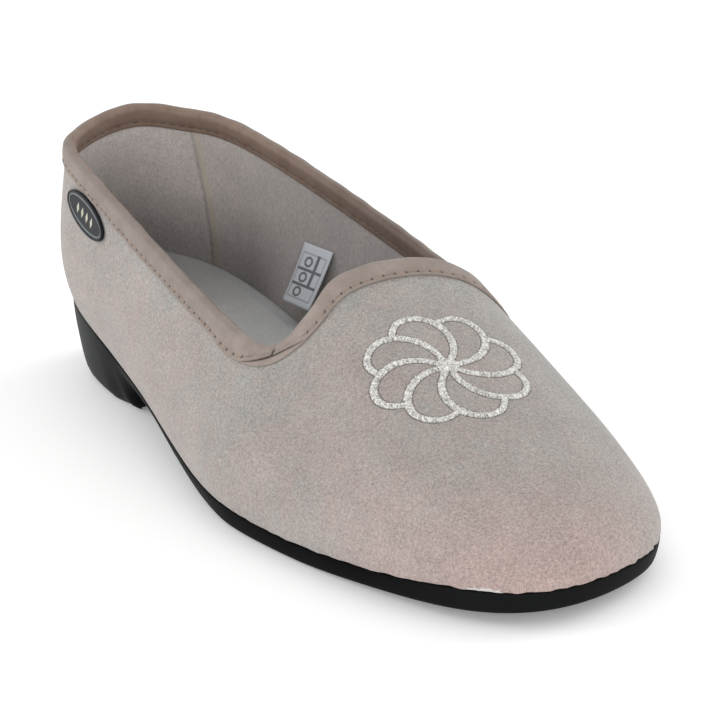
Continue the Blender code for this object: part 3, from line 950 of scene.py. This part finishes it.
def flannel():
    """Melange lining, painted shade low at the heel, towards the toe and in the seams' creases; a tape at
    each seam.
    """
    material, shader, place = new_material("melange_flannel")
    fibre = place.stretched(1.0, 1.0, 0.45).noise(1700, 3.0, 0.7)
    cloud = place.noise(140, 3.0, 0.6)
    weave = place.noise(3600, 1.0)
    colour = fibre.tones(FLANNEL_DARK, FLANNEL_LIGHT)
    seam = place.value("seam")
    colour = (seam.band(*SEAM_TAPE_BAND) * 0.6).blend(colour, SEAM_TAPE_CREAM)
    # Painted shade darkens each seam's crease
    crease = seam.band(*SEAM_CREASE_BAND)
    # Painted shade: the lining darkens low at the heel and towards the toe
    along = place.axis("Y")
    low = (1 - place.value("share").step(*LINING_LOW_SHADE_SHARES)) * (1 - along.step(*LINING_LOW_SHADE_ALONG))
    shade = (1 - along.step(*LINING_SHADE_ALONG) * 0.48) * (1 - low * 0.58)
    colour = colour.scaled((0.98 + cloud * 0.28) * (1 - crease * 0.25) * shade)
    bump = fibre * 0.7 + weave * 0.3 - crease * 0.5
    nap = {"Sheen_Weight": 0.2, "Sheen_Roughness": 0.5}
    paint(shader, colour, 0.90 + cloud * 0.08, bump, distance=0.00020, strength=0.8, **nap)
    return material


def satin_tape():
    """Brown bias tape with a fine twill and needle holes darkened by painted shade, paler towards the toe
    with painted light, darker on its inner side with painted shade.
    """
    material, shader, place = new_material("brown_satin_tape")
    twill = place.noise(2600, 1.5, 0.6)
    cloud = place.noise(170, 3.0, 0.6)
    worn = place.noise(700, 2.0, 0.6)
    along = place.axis("Y")
    # Painted light: the tape's outer side is paler towards the toe
    colour = cloud.tones(SATIN_DARK, SATIN_LIGHT).scaled(0.91 + along.step(*TAPE_PAINTED_LIGHT_ALONG) * 0.18)
    # Painted shade on the tape's inner side, darkest towards the toe
    inner_shaded = cloud.tones(SATIN_INNER_SHADED_DARK, SATIN_INNER_SHADED_LIGHT).scaled(1 - along.step(*TAPE_INNER_SHADE_ALONG) * 0.42)
    colour = place.value("inner").step(0.30, 0.78).blend(colour, inner_shaded)
    # Painted shade in the needle holes, the notches and the crack under each flap
    hole = place.value("hole").step(0.15, 0.75)
    colour = colour.scaled((0.78 + twill * 0.26 + worn * 0.18) * (1 - hole * 0.82))
    bump = twill * 0.5 + worn * 0.3 - hole * 1.5
    nap = {"Sheen_Weight": 0.12, "Sheen_Roughness": 0.35}
    paint(shader, colour, 0.52 + worn * 0.16, bump, distance=0.00012, strength=0.7, **nap)
    return material


def thread(yarn):
    """Twisted thread, each stitch with its own tint, which a fine sparkle breaks up."""
    material, shader, place = new_material(yarn.name)
    speck = place.noise(1700, 2.0, 0.7).step(0.38, 0.62)
    tint = place.value("tint") * (1 - yarn.sparkle) + speck * yarn.sparkle
    fine = place.noise(5200, 2.0, 0.6)
    colour = tint.blend(yarn.dark, yarn.light).scaled(0.82 + fine * 0.36)
    gloss = {"Sheen_Weight": 0.15, "Coat_Weight": yarn.glint}
    paint(shader, colour, yarn.roughness + fine * 0.15, fine, distance=0.00006, strength=0.6, **gloss)
    return material


def felt():
    """Grey felt sock with a pale blue-grey welt along its inner side, darker towards the heel with painted
    shade.
    """
    material, shader, place = new_material("grey_felt")
    fibre = place.noise(1900, 3.0, 0.7)
    cloud = place.noise(60, 4.0, 0.6)
    colour = fibre.tones(FELT_DARK, FELT_LIGHT)
    # Painted shade: the felt darkens towards the heel
    forward = place.axis("Y").step(*FELT_SHADE_ALONG)
    tone = (0.80 + cloud * 0.4) * (0.90 + forward * 0.45)
    colour = (place.value("welt") * 0.75).blend(colour, WELT_BLUE).scaled(tone)
    bump = fibre + cloud * 0.8
    paint(shader, colour, 0.92 + cloud * 0.06, bump, distance=0.00025, strength=0.8, Sheen_Weight=0.2)
    return material


def rubber():
    """Black moulded rubber, a little dusty and scuffed, with painted reflection greying the heel and a
    painted highlight at the toe.
    """
    material, shader, place = new_material("black_rubber")
    grain = place.noise(2400, 2.0, 0.6)
    cloud = place.noise(55, 4.0, 0.65)
    scuff = place.stretched(1.0, 1.0, 5.0).noise(300, 4.0, 0.75).step(0.60, 0.78)
    along = place.axis("Y")
    # Painted reflection greys the heel block, and a painted highlight greys the toe's edge
    heel = 1 - along.step(*HEEL_REFLECTION_ALONG)
    toe = along.step(*TOE_HIGHLIGHT_ALONG)
    grey = cloud.step(0.45, 0.75) * 0.025 + scuff * 0.03 + heel * 0.82 + toe * 0.13
    colour = grey.blend(RUBBER_BLACK, RUBBER_DUST_AND_REFLECTION)
    roughness = 0.40 + cloud * 0.18 + scuff * 0.12
    paint(shader, colour, roughness, grain, distance=0.00005, strength=0.5, Specular_IOR_Level=0.025)
    return material


def badge_weave():
    """Navy weave with a raised pale ring and a row of small lozenges."""
    material, shader, place = new_material("navy_weave")
    rib = place.noise(3800, 1.0)
    across = place.value("across")
    up = place.value("up")
    ring = place.value("edge").band(*BADGE_RING_BAND)
    cell = across.math("PINGPONG", across + LOZENGE_PITCH, LOZENGE_PITCH)
    row = 1 - across.far().step(*LOZENGE_ROW_END)
    lozenge = (1 - (cell * 1.2 + up.far() * 0.6).step(0.85, 1.15)) * row
    bump = rib + (ring * 0.9 + lozenge * 0.9) * 0.5
    colour = lozenge.blend(ring.blend(BADGE_NAVY, BADGE_RING_GREY), LOZENGE_CREAM).scaled(0.7 + rib * 0.6)
    gloss = {"Coat_Weight": 0.05, "Specular_IOR_Level": 0.2}
    paint(shader, colour, 0.42 + rib * 0.2, bump, distance=0.00008, strength=0.7, **gloss)
    return material


def label_weave():
    """Pale woven label: thin frame, dark bars between three rows, an upright bar, a ring in each row."""
    material, shader, place = new_material("pale_label")
    weave = place.noise(3000, 1.0)
    across = place.value("across")
    up = place.value("up")

    def bar(wire, middle, half):
        return 1 - wire.far(middle).step(half - LABEL_BLUR, half + LABEL_BLUR)

    def block(middle, half):
        return bar(across, middle[0], half[0]) * bar(up, middle[1], half[1])

    def ring(middle):
        side = across.far(LABEL_RING_SIDE) * 0.8
        rise = up.far(middle)
        away = side.math("MAXIMUM", side, rise) + side.math("MINIMUM", side, rise) * 0.4
        return bar(away, LABEL_RING_RADIUS, LABEL_RING_HALF)

    inside = block(LABEL_MIDDLE, LABEL_FRAME_OUTER)
    frame_line = inside * (1 - block(LABEL_MIDDLE, LABEL_FRAME_INNER))
    marks = block(LABEL_COLUMN_AT, LABEL_COLUMN_HALF)
    marks = sum((bar(up, middle, LABEL_BAR_HALF) for middle in LABEL_BARS), marks)
    marks = sum((ring(middle) for middle in LABEL_RINGS), marks) * inside
    dark = marks.math("MINIMUM", marks, 1.0)
    colour = (frame_line * 0.55).blend(LABEL_PALE, LABEL_FRAME_GREY)
    colour = (dark * 0.9).blend(colour, LABEL_DARK).scaled(0.8 + weave * 0.4)
    paint(shader, colour, 0.75 + weave * 0.1, weave, distance=0.00008, strength=0.6)
    return material


def studio_floor():
    """Pale floor that gives a little light of its own."""
    material, shader, place = new_material("pale_floor")
    tone = place.noise(3, 2.0)
    colour = tone.blend(FLOOR_DARK, FLOOR_LIGHT)
    glow = {"Emission_Color": WHITE, "Emission_Strength": FLOOR_GLOW}
    paint(shader, colour, 0.55 + tone * 0.1, tone, distance=0.0002, strength=0.2, **glow)
    return material


# Pieces of the upper

def crowded_rows(count, crowding):
    """Shares from 0 to 1, closer together near both ends."""
    t = np.linspace(0, 1, count)
    return t - crowding * np.sin(2 * np.pi * t) / (2 * np.pi)


def glue_mask(s, h):
    """Round about the glue's stretch of the edge, close above the sole."""
    middle = (GLUE_RIBS[0] + GLUE_RIBS[1]) / 2
    half = (GLUE_RIBS[1] - GLUE_RIBS[0]) / 2
    return bell(s, middle, half, 4) * bell(h, 0, GLUE_SHARE)


def wall_sheet(outer_rows, inner_rows, outer_off, inner_off):
    """Ribs, shares and heights off the wall for a sheet, up its outer face and down its inner one."""
    s = stations(WALL_FINE)
    crown = np.interp(s, TAPE_RIBS, share_below(FOLD_RADIUS), period=len(RIBS))
    h = crown[None] * np.concatenate([outer_rows, inner_rows])[:, None]
    off = np.repeat([outer_off, inner_off], [len(outer_rows), len(inner_rows)])[:, None]
    return np.broadcast_to(s, h.shape), h, np.broadcast_to(off, h.shape)


def upper_cloth(material):
    """Outer cloth of the wall, folded in at its lower edge and hidden by the tape at its upper one."""
    outer = crowded_rows(CLOTH_ROWS, CLOTH_CROWDING)
    inner = np.linspace(1, 0, CLOTH_BACK_ROWS)
    s, h, off = wall_sheet(outer, inner, 0.0, -OUTER_CLOTH)
    faces = ring_quads(*h.shape, joined=True)
    values = {"glue": glue_mask(s, h)}
    add_piece("upper_cloth", skin(s, h, off), faces, material, ["upper"], values)


def seam_distance(s, h):
    """Distance from the nearer of the two lining seams, positive on its toe side."""
    lean = (h - SEAM_LOW.share) / (SEAM_HIGH.share - SEAM_LOW.share)
    inner_side = SEAM_LOW.rib + (SEAM_HIGH.rib - SEAM_LOW.rib) * lean
    stretch = np.linalg.norm(wall_slopes(s, h)[0], axis=-1)
    from_inner = inner_side - s
    from_outer = inner_side - (len(RIBS) - s)
    nearer = np.where(np.abs(from_inner) < np.abs(from_outer), from_inner, from_outer)
    return nearer * stretch


def upper_lining(material):
    """Lining against the inner face of the cloth, with its two side seams."""
    outer = np.linspace(0, 1, LINING_BACK_ROWS)
    inner = np.linspace(1, 0, LINING_ROWS)
    s, h, off = wall_sheet(outer, inner, -OUTER_CLOTH - LINING_GAP, -WALL)
    seam = seam_distance(s, h)
    off = off + SEAM_RIDGE * bell(seam, 0, SEAM_HALF) * (off <= -WALL)
    faces = ring_quads(*h.shape, joined=True)
    values = {"seam": seam * MILLIMETRES, "share": h}
    add_piece("upper_lining", skin(s, h, off), faces, material, ["upper"], values)


# Binding

def collar_tape(material):
    """Tape folded over the top line, pulled in by its stitches, with a flap at each dip."""
    crown = share_below(FOLD_RADIUS)
    normal = outward(TAPE_RIBS, crown)
    upward = unit(wall_slopes(TAPE_RIBS, crown)[1])
    middle = skin(TAPE_RIBS, crown, -WALL / 2)
    stitch = np.cos(2 * np.pi * np.arange(len(TAPE_RUN)) / STATIONS_A_STITCH)
    rings = []
    values = {"hole": [], "inner": []}

    def add_ring(ring, hole, inner):
        rings.append(ring)
        values["hole"].append(np.broadcast_to(hole, TAPE_RUN.shape))
        values["inner"].append(np.full(len(TAPE_RUN), inner))

    def outer_flange(step):
        down = TAPE_HEM - step.above * FLANGE_REACH
        near = bell(step.above, STITCH_ABOVE_HEM, STITCH_PULL_WIDTH)
        lift = tape_lift(down) * min(step.off / OUTER_FLANGE[-1].off, 1)
        off = step.off + lift - STITCH_PULL * near * stitch
        # Painted shade in the needle holes and in the notch at each flap's end
        hole = np.maximum(stitch, 0) ** 3 * near ** 2 * sewn() + notch(down) ** 2
        add_ring(skin(TAPE_RIBS, share_below(down), off), hole, 0.0)

    def inner_flange(step):
        off = np.full(len(TAPE_RUN), -WALL - step.off)
        add_ring(skin(TAPE_RIBS, share_below(INNER_WIDTH - step.above), off), 0.0, 1.0)

    def fold(radius, degrees):
        turn = np.radians(degrees)
        down = FOLD_RADIUS * (1 - np.sin(turn)) if degrees < 90 else 0.0
        lifted = radius + tape_lift(down) * (radius == FOLD_RADIUS)
        ring = middle + (normal * np.cos(turn) + upward * np.sin(turn)) * lifted[:, None]
        add_ring(ring, 0.0, 0.5 - 0.5 * np.cos(turn))

    for step in OUTER_FLANGE:
        outer_flange(step)
    for degrees in FOLD_TURNS:
        fold(FOLD_RADIUS, degrees)
    for step in INNER_FLANGE:
        inner_flange(step)
    inner_flange(INNER_BACKING)
    for degrees in INNER_FOLD_TURNS:
        fold(INNER_FOLD_RADIUS, degrees)
    outer_flange(OUTER_BACKING)
    faces = ring_quads(len(rings), len(TAPE_RUN), joined=True)
    add_piece("collar_tape", rings, faces, material, ["collar_binding"], values)


def dip_lips(material):
    """Lower lip of the tape that shows under the flap's edge at each dip."""
    for dip, side in zip(DIPS, ("outer", "inner")):
        past = past_flap(dip)
        inside = np.flatnonzero((past > -LIP_BACK) & (past < LIP_FRONT))
        open_part = TAPE_EDGE - TAPE_HEM
        rings = []
        holes = []
        for step in LIP_SECTION:
            down = TAPE_EDGE - step.share * open_part + step.deeper
            rings.append(skin(TAPE_RIBS, share_below(down), step.off)[inside])
            # Painted shade in the crack under the flap
            holes.append(np.full(len(inside), step.dark))
        faces = tube_faces(len(rings), len(inside))
        values = {"hole": holes, "inner": np.zeros_like(holes)}
        add_piece(f"dip_lip_{side}", rings, faces, material, (), values)


# Stitches, laid by one node tree at the points of a guide

def stitch_tree():
    """Instances of an arched thread on the guide's points, along one stored direction and off another."""
    tree = bpy.data.node_groups.new("laid_stitches", "GeometryNodeTree")
    sockets = {"Guide": "Geometry", **THREAD_INPUTS, "Finish": "Material"}
    for name, kind in sockets.items():
        tree.interface.new_socket(name, in_out="INPUT", socket_type=f"NodeSocket{kind}")
    tree.interface.new_socket("Stitches", in_out="OUTPUT", socket_type="NodeSocketGeometry")
    outputs = tree.nodes.new("NodeGroupInput").outputs
    given = {socket.name: Wire(socket) for socket in outputs if socket.name}
    guide = given["Guide"]

    def height(z):
        return guide.node("ShaderNodeCombineXYZ", {}, {"Z": z})

    def stored(name, kind):
        return guide.node("GeometryNodeInputNamedAttribute", {"data_type": kind}, {"Name": name})

    def random(low, high, seed):
        """A float for each point. Sockets 2 and 3 take its limits."""
        limits = {2: low, 3: high, "Seed": seed}
        return guide.node("FunctionNodeRandomValue", {"data_type": "FLOAT"}, limits, 1)

    foot = height(given["Sink"] * -1)
    sides = ((-0.5, 0, 0), (0.5, 0, 0))
    start, end = (foot.node("ShaderNodeVectorMath", {}, {0: foot, 1: side}) for side in sides)
    top = height(given["Arch"] * 2)
    bow = {"Resolution": THREAD_BENDS, "Start": start, "Middle": top, "End": end}
    arch = guide.node("GeometryNodeCurveQuadraticBezier", {}, bow)
    round_section = {"Resolution": THREAD_SIDES, "Radius": given["Thread"]}
    profile = guide.node("GeometryNodeCurvePrimitiveCircle", {}, round_section)
    tube = {"Curve": arch, "Profile Curve": profile, "Fill Caps": True}
    stitch = guide.node("GeometryNodeCurveToMesh", {}, tube)
    along = {"Vector": stored("along", "FLOAT_VECTOR")}
    rotation = guide.node("FunctionNodeAlignRotationToVector", {"axis": "X"}, along)
    face = {"Rotation": rotation, "Vector": stored("face_out", "FLOAT_VECTOR")}
    rotation = guide.node("FunctionNodeAlignRotationToVector", {"axis": "Z", "pivot_axis": "X"}, face)
    angle = given["Turn"] + random(-1.0, 1.0, given["Seed"]) * given["Jitter"]
    twist = guide.node("FunctionNodeAxisAngleToRotation", {}, {"Axis": (0, 0, 1), "Angle": angle})
    both = {"Rotation": rotation, "Rotate By": twist}
    rotation = guide.node("FunctionNodeRotateRotation", {"rotation_space": "LOCAL"}, both)
    span = guide.node("ShaderNodeCombineXYZ", {}, {"X": stored("span", "FLOAT"), "Y": 1.0, "Z": 1.0})
    laid = {"Points": guide, "Instance": stitch, "Rotation": rotation, "Scale": span}
    row = guide.node("GeometryNodeInstanceOnPoints", {}, laid)
    tint = {"Geometry": row, "Name": "tint", "Value": random(0.0, 1.0, given["Seed"] + 1)}
    row = guide.node("GeometryNodeStoreNamedAttribute", {"data_type": "FLOAT", "domain": "INSTANCE"}, tint)
    row = guide.node("GeometryNodeRealizeInstances", {}, {"Geometry": row})
    row = guide.node("GeometryNodeSetMaterial", {}, {"Geometry": row, "Material": given["Finish"]})
    tree.links.new(row.socket, tree.nodes.new("NodeGroupOutput").inputs["Stitches"])
    return tree


def lay_stitches(name, tree, points, along, face_out, span, thread_size, material, slot, replaces=()):
    """Stitches of one kind at points, as a plain mesh."""
    guide_mesh = bpy.data.meshes.new(name + "_guide")
    guide_mesh.from_pydata((points + SHIFT).tolist(), [], [])
    store(guide_mesh, "along", along, "FLOAT_VECTOR")
    store(guide_mesh, "face_out", face_out, "FLOAT_VECTOR")
    store(guide_mesh, "span", np.broadcast_to(span, len(points)))
    guide = add_object(name + "_guide", guide_mesh)
    maker = guide.modifiers.new("stitches", "NODES")
    maker.node_group = tree
    given = dict(zip(THREAD_INPUTS, thread_size), Finish=material)
    for item in tree.interface.items_tree:
        if item.in_out == "INPUT" and item.name in given:
            maker[item.identifier] = given[item.name]
    bpy.context.view_layer.update()
    shown = guide.evaluated_get(bpy.context.evaluated_depsgraph_get())
    mesh = bpy.data.meshes.new_from_object(shown)
    mesh.name = name
    bpy.data.objects.remove(guide)
    bpy.data.meshes.remove(guide_mesh)
    return show(name, mesh, material, replaces)


def collar_stitches(tree, tan, dark):
    """One row of stitches near the tape's hem, tan outside and dark inside."""
    every = np.arange(STITCHES) * STATIONS_A_STITCH + STATIONS_A_STITCH // 2
    shown = every[sewn()[every] > 0]
    outer_down = TAPE_HEM - STITCH_ABOVE_HEM * FLANGE_REACH
    inner_down = INNER_WIDTH - INNER_STITCH_ABOVE_HEM
    outer_off = OUTER_STITCH_OFF + tape_lift(outer_down) / 2
    inner_off = -WALL - INNER_STITCH_OFF
    rows = (
        ("outer", shown, outer_down, outer_off, 1, tan),
        ("inner", every, inner_down, inner_off, -1, dark),
    )
    for side, middle, down, off, sign, material in rows:
        share = share_below(down)
        line = skin(TAPE_RIBS, share, off)
        along = unit(loop_steps(line))
        face_out = outward(TAPE_RIBS, share) * sign
        guide = (line[middle], along[middle], face_out[middle], COLLAR_SPAN)
        lay_stitches(f"collar_stitches_{side}", tree, *guide, COLLAR_THREAD, material, "binding_satin")


# Flower

def petal_line(pitch):
    """Points of one line of the flower at even steps, flat, with the stitches' width at each."""
    rows = np.array(PETAL_LINE)
    fine = np.linspace(0, len(rows) - 1, PETAL_FINE)
    slopes = np.gradient(rows, axis=0)
    i = np.minimum(fine.astype(int), len(rows) - 2)
    t = (fine - i)[:, None]
    radius, degrees, width = hermite(rows[i], rows[i + 1], slopes[i], slopes[i + 1], t).T
    line = compass(np.radians(degrees)) * (radius * FLOWER_RADIUS)[:, None]
    run = run_lengths(line)
    even = np.linspace(0, run[-1], int(run[-1] / pitch) + 1)
    return np.stack([np.interp(even, run, column) for column in (*line.T, width)], axis=1)


def turned(line, degrees):
    """Flat points turned about the flower's hub."""
    turn = np.radians(degrees)
    return line @ np.array([[np.cos(turn), np.sin(turn)], [-np.sin(turn), np.cos(turn)]])


def flower_bed(name, material, margin, crown, replaces=()):
    """Low padded ribbons along the flower's lines, wider than the satin stitches by a margin."""
    line = petal_line(BED_PITCH)
    centre = line[:, :2]
    run = unit(np.gradient(centre, axis=0))
    side = np.stack([-run[:, 1], run[:, 0]], axis=1)
    ribbon = tube_faces(len(BED_SECTION), len(line))
    rings = []
    faces = []
    for k in range(PETALS):
        first = len(rings) * len(line)
        for across, height in BED_SECTION:
            flat = turned(centre + side * (across * (line[:, 2] / 2 + margin))[:, None], 360 / PETALS * k)
            s, h = find_on_wall(flat, FLOWER_SPOT)
            rings.append(skin(s, h, height * crown if height > 0 else -BED_SINK))
        faces += [[first + corner for corner in face] for face in ribbon]
    add_piece(name, rings, faces, material, replaces)


def flower_threads(tree, material):
    """Satin stitches across every line of the flower in two passes, and a ring of them at the hub."""
    chance = np.random.default_rng(SATIN_SEED)
    line = petal_line(SATIN_PITCH)
    for number, size in enumerate(SATIN_PASSES):
        if number:
            line = (line[1:] + line[:-1]) / 2
        columns = []
        for k in range(PETALS):
            s, h = find_on_wall(turned(line[:, :2], 360 / PETALS * k), FLOWER_SPOT)
            place = skin(s, h, SATIN_OFF)
            width = line[:, 2] * chance.uniform(*SATIN_SPREAD, len(line))
            columns.append((place, unit(np.gradient(place, axis=0)), outward(s, h), width))
        guide = [np.concatenate(column) for column in zip(*columns)]
        name = f"flower_threads_{number + 1}"
        lay_stitches(name, tree, *guide, size, material, "embroidery_thread", ["vamp_embroidery"])
    s, h = find_on_wall(compass(even_turns(HUB_THREADS)) * HUB_RADIUS, FLOWER_SPOT)
    place = skin(s, h, HUB_OFF)
    guide = (place, unit(loop_steps(place)), outward(s, h), HUB_SPAN)
    lay_stitches("flower_hub", tree, *guide, HUB_THREAD, material, "embroidery_thread")


# Badge and label

def side_badge(material):
    """Oval badge with a raised edge, its field filled by rings that close on its long axis."""
    around = compass(even_turns(BADGE_POINTS))
    field = [BadgeStep(inset, BADGE_FIELD_OFF) for inset in BADGE_FIELD_INSETS]
    rings = []
    values = {"across": [], "up": [], "edge": []}
    for inset, off in [*BADGE_EDGE, *field]:
        flat = around * (BADGE_LENGTH / 2 - inset, BADGE_WIDTH / 2 - inset)
        s, h = find_on_wall(flat, BADGE_SPOT)
        rings.append(skin(s, h, off))
        for key, column in zip(values, (*flat.T, np.full(len(s), inset))):
            values[key].append(column * MILLIMETRES)
    faces = ring_quads(len(rings), BADGE_POINTS)
    last = (len(rings) - 1) * BADGE_POINTS
    half = BADGE_POINTS // 2
    for k in range(half):
        corners = (k, k + 1, BADGE_POINTS - k - 1, (BADGE_POINTS - k) % BADGE_POINTS)
        faces.append([last + corner for corner in dict.fromkeys(corners)])
    faces.append(list(range(BADGE_POINTS))[::-1])
    add_piece("side_badge_weave", rings, faces, material, ["side_badge"], values)


def lining_label(material):
    """Small woven tab that hangs from its upper edge and leans off the lining."""
    across, up = np.meshgrid(np.linspace(-0.5, 0.5, LABEL_COLUMNS), np.linspace(-0.5, 0.5, LABEL_ROWS))
    flat = np.stack([across.ravel() * LABEL_WIDTH, up.ravel() * LABEL_LENGTH], axis=1)
    s, h = find_on_wall(flat, LABEL_SPOT)
    off = -WALL - GAP - LABEL_LEAN * (0.5 - up.ravel())
    sheets = [skin(s, h, off), skin(s, h, off - LABEL_THICKNESS)]
    count = LABEL_ROWS * LABEL_COLUMNS
    quads = ring_quads(LABEL_ROWS, LABEL_COLUMNS, closed=False)
    faces = quads + [[corner + count for corner in face[::-1]] for face in quads]
    numbers = np.arange(count).reshape(LABEL_ROWS, LABEL_COLUMNS)
    rim = [*numbers[0], *numbers[1:, -1], *numbers[-1, -2::-1], *numbers[-2:0:-1, 0]]
    for first, after in zip(rim, rim[1:] + rim[:1]):
        faces.append([after, first, first + count, after + count])
    values = {key: np.tile(column * MILLIMETRES, 2) for key, column in zip(("across", "up"), flat.T)}
    add_piece("lining_label_weave", sheets, faces, material, ["lining_label"], values)


# Insole and sole

def insole_sock(material):
    """Felt sock with a rolled edge and a low welt along the inner side."""
    s = stations(INSOLE_FINE)
    edge = feather_edge(s)
    inward = -feather_outward(s)
    rings = []
    for more, lift in INSOLE_EDGE:
        ring = edge + inward * (INSOLE_INSET + more)
        ring[:, 2] = seat_at(ring[:, 1]) + lift
        rings.append(ring)
    count = len(s)
    first = (len(rings) - 1) * count
    base = len(rings) * count
    filled, top = ladder(rings[-1], INSOLE_COLUMNS, first, base)
    side, width = ladder_places(rings[-1], INSOLE_COLUMNS)
    near = np.minimum(side, 1 - side) * width
    roll = INSOLE_DROP * np.maximum(1 - near / INSOLE_ROLL, 0) ** 2
    from_inner = (1 - side) * width
    welt = bell(from_inner, WELT_INSET, WELT_HALF, 4) * bell(filled[:, 1], WELT_MIDDLE, WELT_REACH, 6)
    filled[:, 2] = seat_at(filled[:, 1]) + INSOLE_THICKNESS - roll + WELT_HEIGHT * welt
    bottom = ladder(rings[0], 1, 0, 0, upward=False)[1]
    points = np.concatenate(rings + [filled])
    faces = ring_quads(len(rings), count) + top + bottom
    values = {"welt": np.concatenate([np.zeros(base), welt])}
    add_piece("insole_sock", points, faces, material, ["insole"], values)


def tread(points):
    """Depth of the wavy grooves under heel and forefoot."""
    x, y = points[:, :2].T
    swing = TREAD_SWING * np.sin(2 * np.pi * x / TREAD_SWING_LENGTH)
    wave = np.sin(2 * np.pi * (y + swing) / TREAD_PITCH)
    groove = np.clip(TREAD_STEEPNESS * wave - TREAD_LAND, 0, 1)
    flat = np.clip(1 - under_at(y) / TREAD_LIFT_LIMIT, 0, 1)
    return TREAD_DEPTH * groove * flat


def sole_unit(material):
    """Moulded sole: soft-edged sides, a rim under the upper, and a grooved underside."""
    s = stations(SOLE_FINE)
    edge = feather_edge(s)
    y = edge[:, 1]
    inward = -feather_outward(s)
    rim = edge[:, 2] - GAP
    rings = []
    for drop in SIDE_ROWS:
        ring = edge + inward * (tuck_at(y) * side_tuck(np.array(drop)))[:, None]
        ring[:, 2] = rim + (under_at(y) - rim) * drop
        rings.append(ring)
    for inset, down in RIM_ROWS:
        ring = edge + inward * inset
        ring[:, 2] = rim - down
        rings.append(ring)
    count = len(s)
    base = len(rings) * count
    filled, bottom = ladder(rings[0], SOLE_COLUMNS, 0, base, upward=False)
    side, width = ladder_places(rings[0], SOLE_COLUMNS)
    margin = ramp(np.minimum(side, 1 - side) * width, TREAD_MARGIN, TREAD_MARGIN + TREAD_EASE)
    filled[:, 2] = under_at(filled[:, 1]) + tread(filled) * margin
    top = ladder(rings[-1], 1, (len(rings) - 1) * count, 0)[1]
    points = np.concatenate(rings + [filled])
    faces = ring_quads(len(rings), count) + bottom + top
    add_piece("sole_unit", points, faces, material, ["sole"])


# Studio

def add_floor(material):
    mesh = bpy.data.meshes.new("studio_floor")
    square = ((-1, -1), (1, -1), (1, 1), (-1, 1))
    corners = [(x * FLOOR_HALF, y * FLOOR_HALF, -FLOOR_DROP) for x, y in square]
    mesh.from_pydata(corners, [], [(0, 1, 2, 3)])
    mesh.materials.append(material)
    add_object("studio_floor", mesh)


def facing(spot, aim, roll=0.0):
    """Matrix that stands at a spot and looks at an aim, rolled about the line of sight."""
    back = unit(np.array(spot) - np.array(aim))
    right = unit(np.cross([0.0, 0.0, 1.0], back))
    up = np.cross(back, right)
    rolled = right * np.cos(roll) + up * np.sin(roll)
    columns = np.stack([rolled, np.cross(back, rolled), back], axis=1)
    matrix = Matrix(columns.tolist()).to_4x4()
    matrix.translation = spot
    return matrix


def add_lamp(lamp):
    light = bpy.data.lights.new(lamp.name, "AREA")
    light.shape = "DISK"
    light.size = lamp.size
    light.energy = lamp.power
    add_object(lamp.name, light).matrix_world = facing(lamp.spot, LAMP_AIM)


def add_studio():
    add_floor(studio_floor())
    for lamp in LAMPS:
        add_lamp(lamp)
    world = bpy.data.worlds.new("pale_room")
    world.use_nodes = True
    background = world.node_tree.nodes["Background"]
    background.inputs["Color"].default_value = WHITE
    background.inputs["Strength"].default_value = ROOM_LIGHT
    bpy.context.scene.world = world
    bpy.context.scene.view_settings.view_transform = "Standard"
    lens = bpy.data.cameras.new("photo_view")
    lens.lens = CAMERA_LENS
    lens.sensor_width = SENSOR_WIDTH
    lens.clip_start = CAMERA_NEAREST
    camera = add_object("photo_view", lens)
    camera.matrix_world = facing(CAMERA_SPOT + SHIFT, CAMERA_AIM + SHIFT, CAMERA_ROLL)
    bpy.context.scene.camera = camera


def main():
    upper_cloth(microfibre())
    upper_lining(flannel())
    tape = satin_tape()
    collar_tape(tape)
    dip_lips(tape)
    tree = stitch_tree()
    collar_stitches(tree, thread(TAN_YARN), thread(BROWN_YARN))
    ivory = thread(IVORY_YARN)
    # A ribbon of painted shadow along the flower's lines
    flower_bed("flower_shadow_ribbon", flower_shadow_cloth(), FLOWER_SHADOW_MARGIN, FLOWER_SHADOW_CROWN)
    flower_bed("flower_bed", ivory, 0.0, BED_CROWN, ["vamp_embroidery"])
    flower_threads(tree, ivory)
    side_badge(badge_weave())
    lining_label(label_weave())
    insole_sock(felt())
    sole_unit(rubber())
    add_studio()


main()
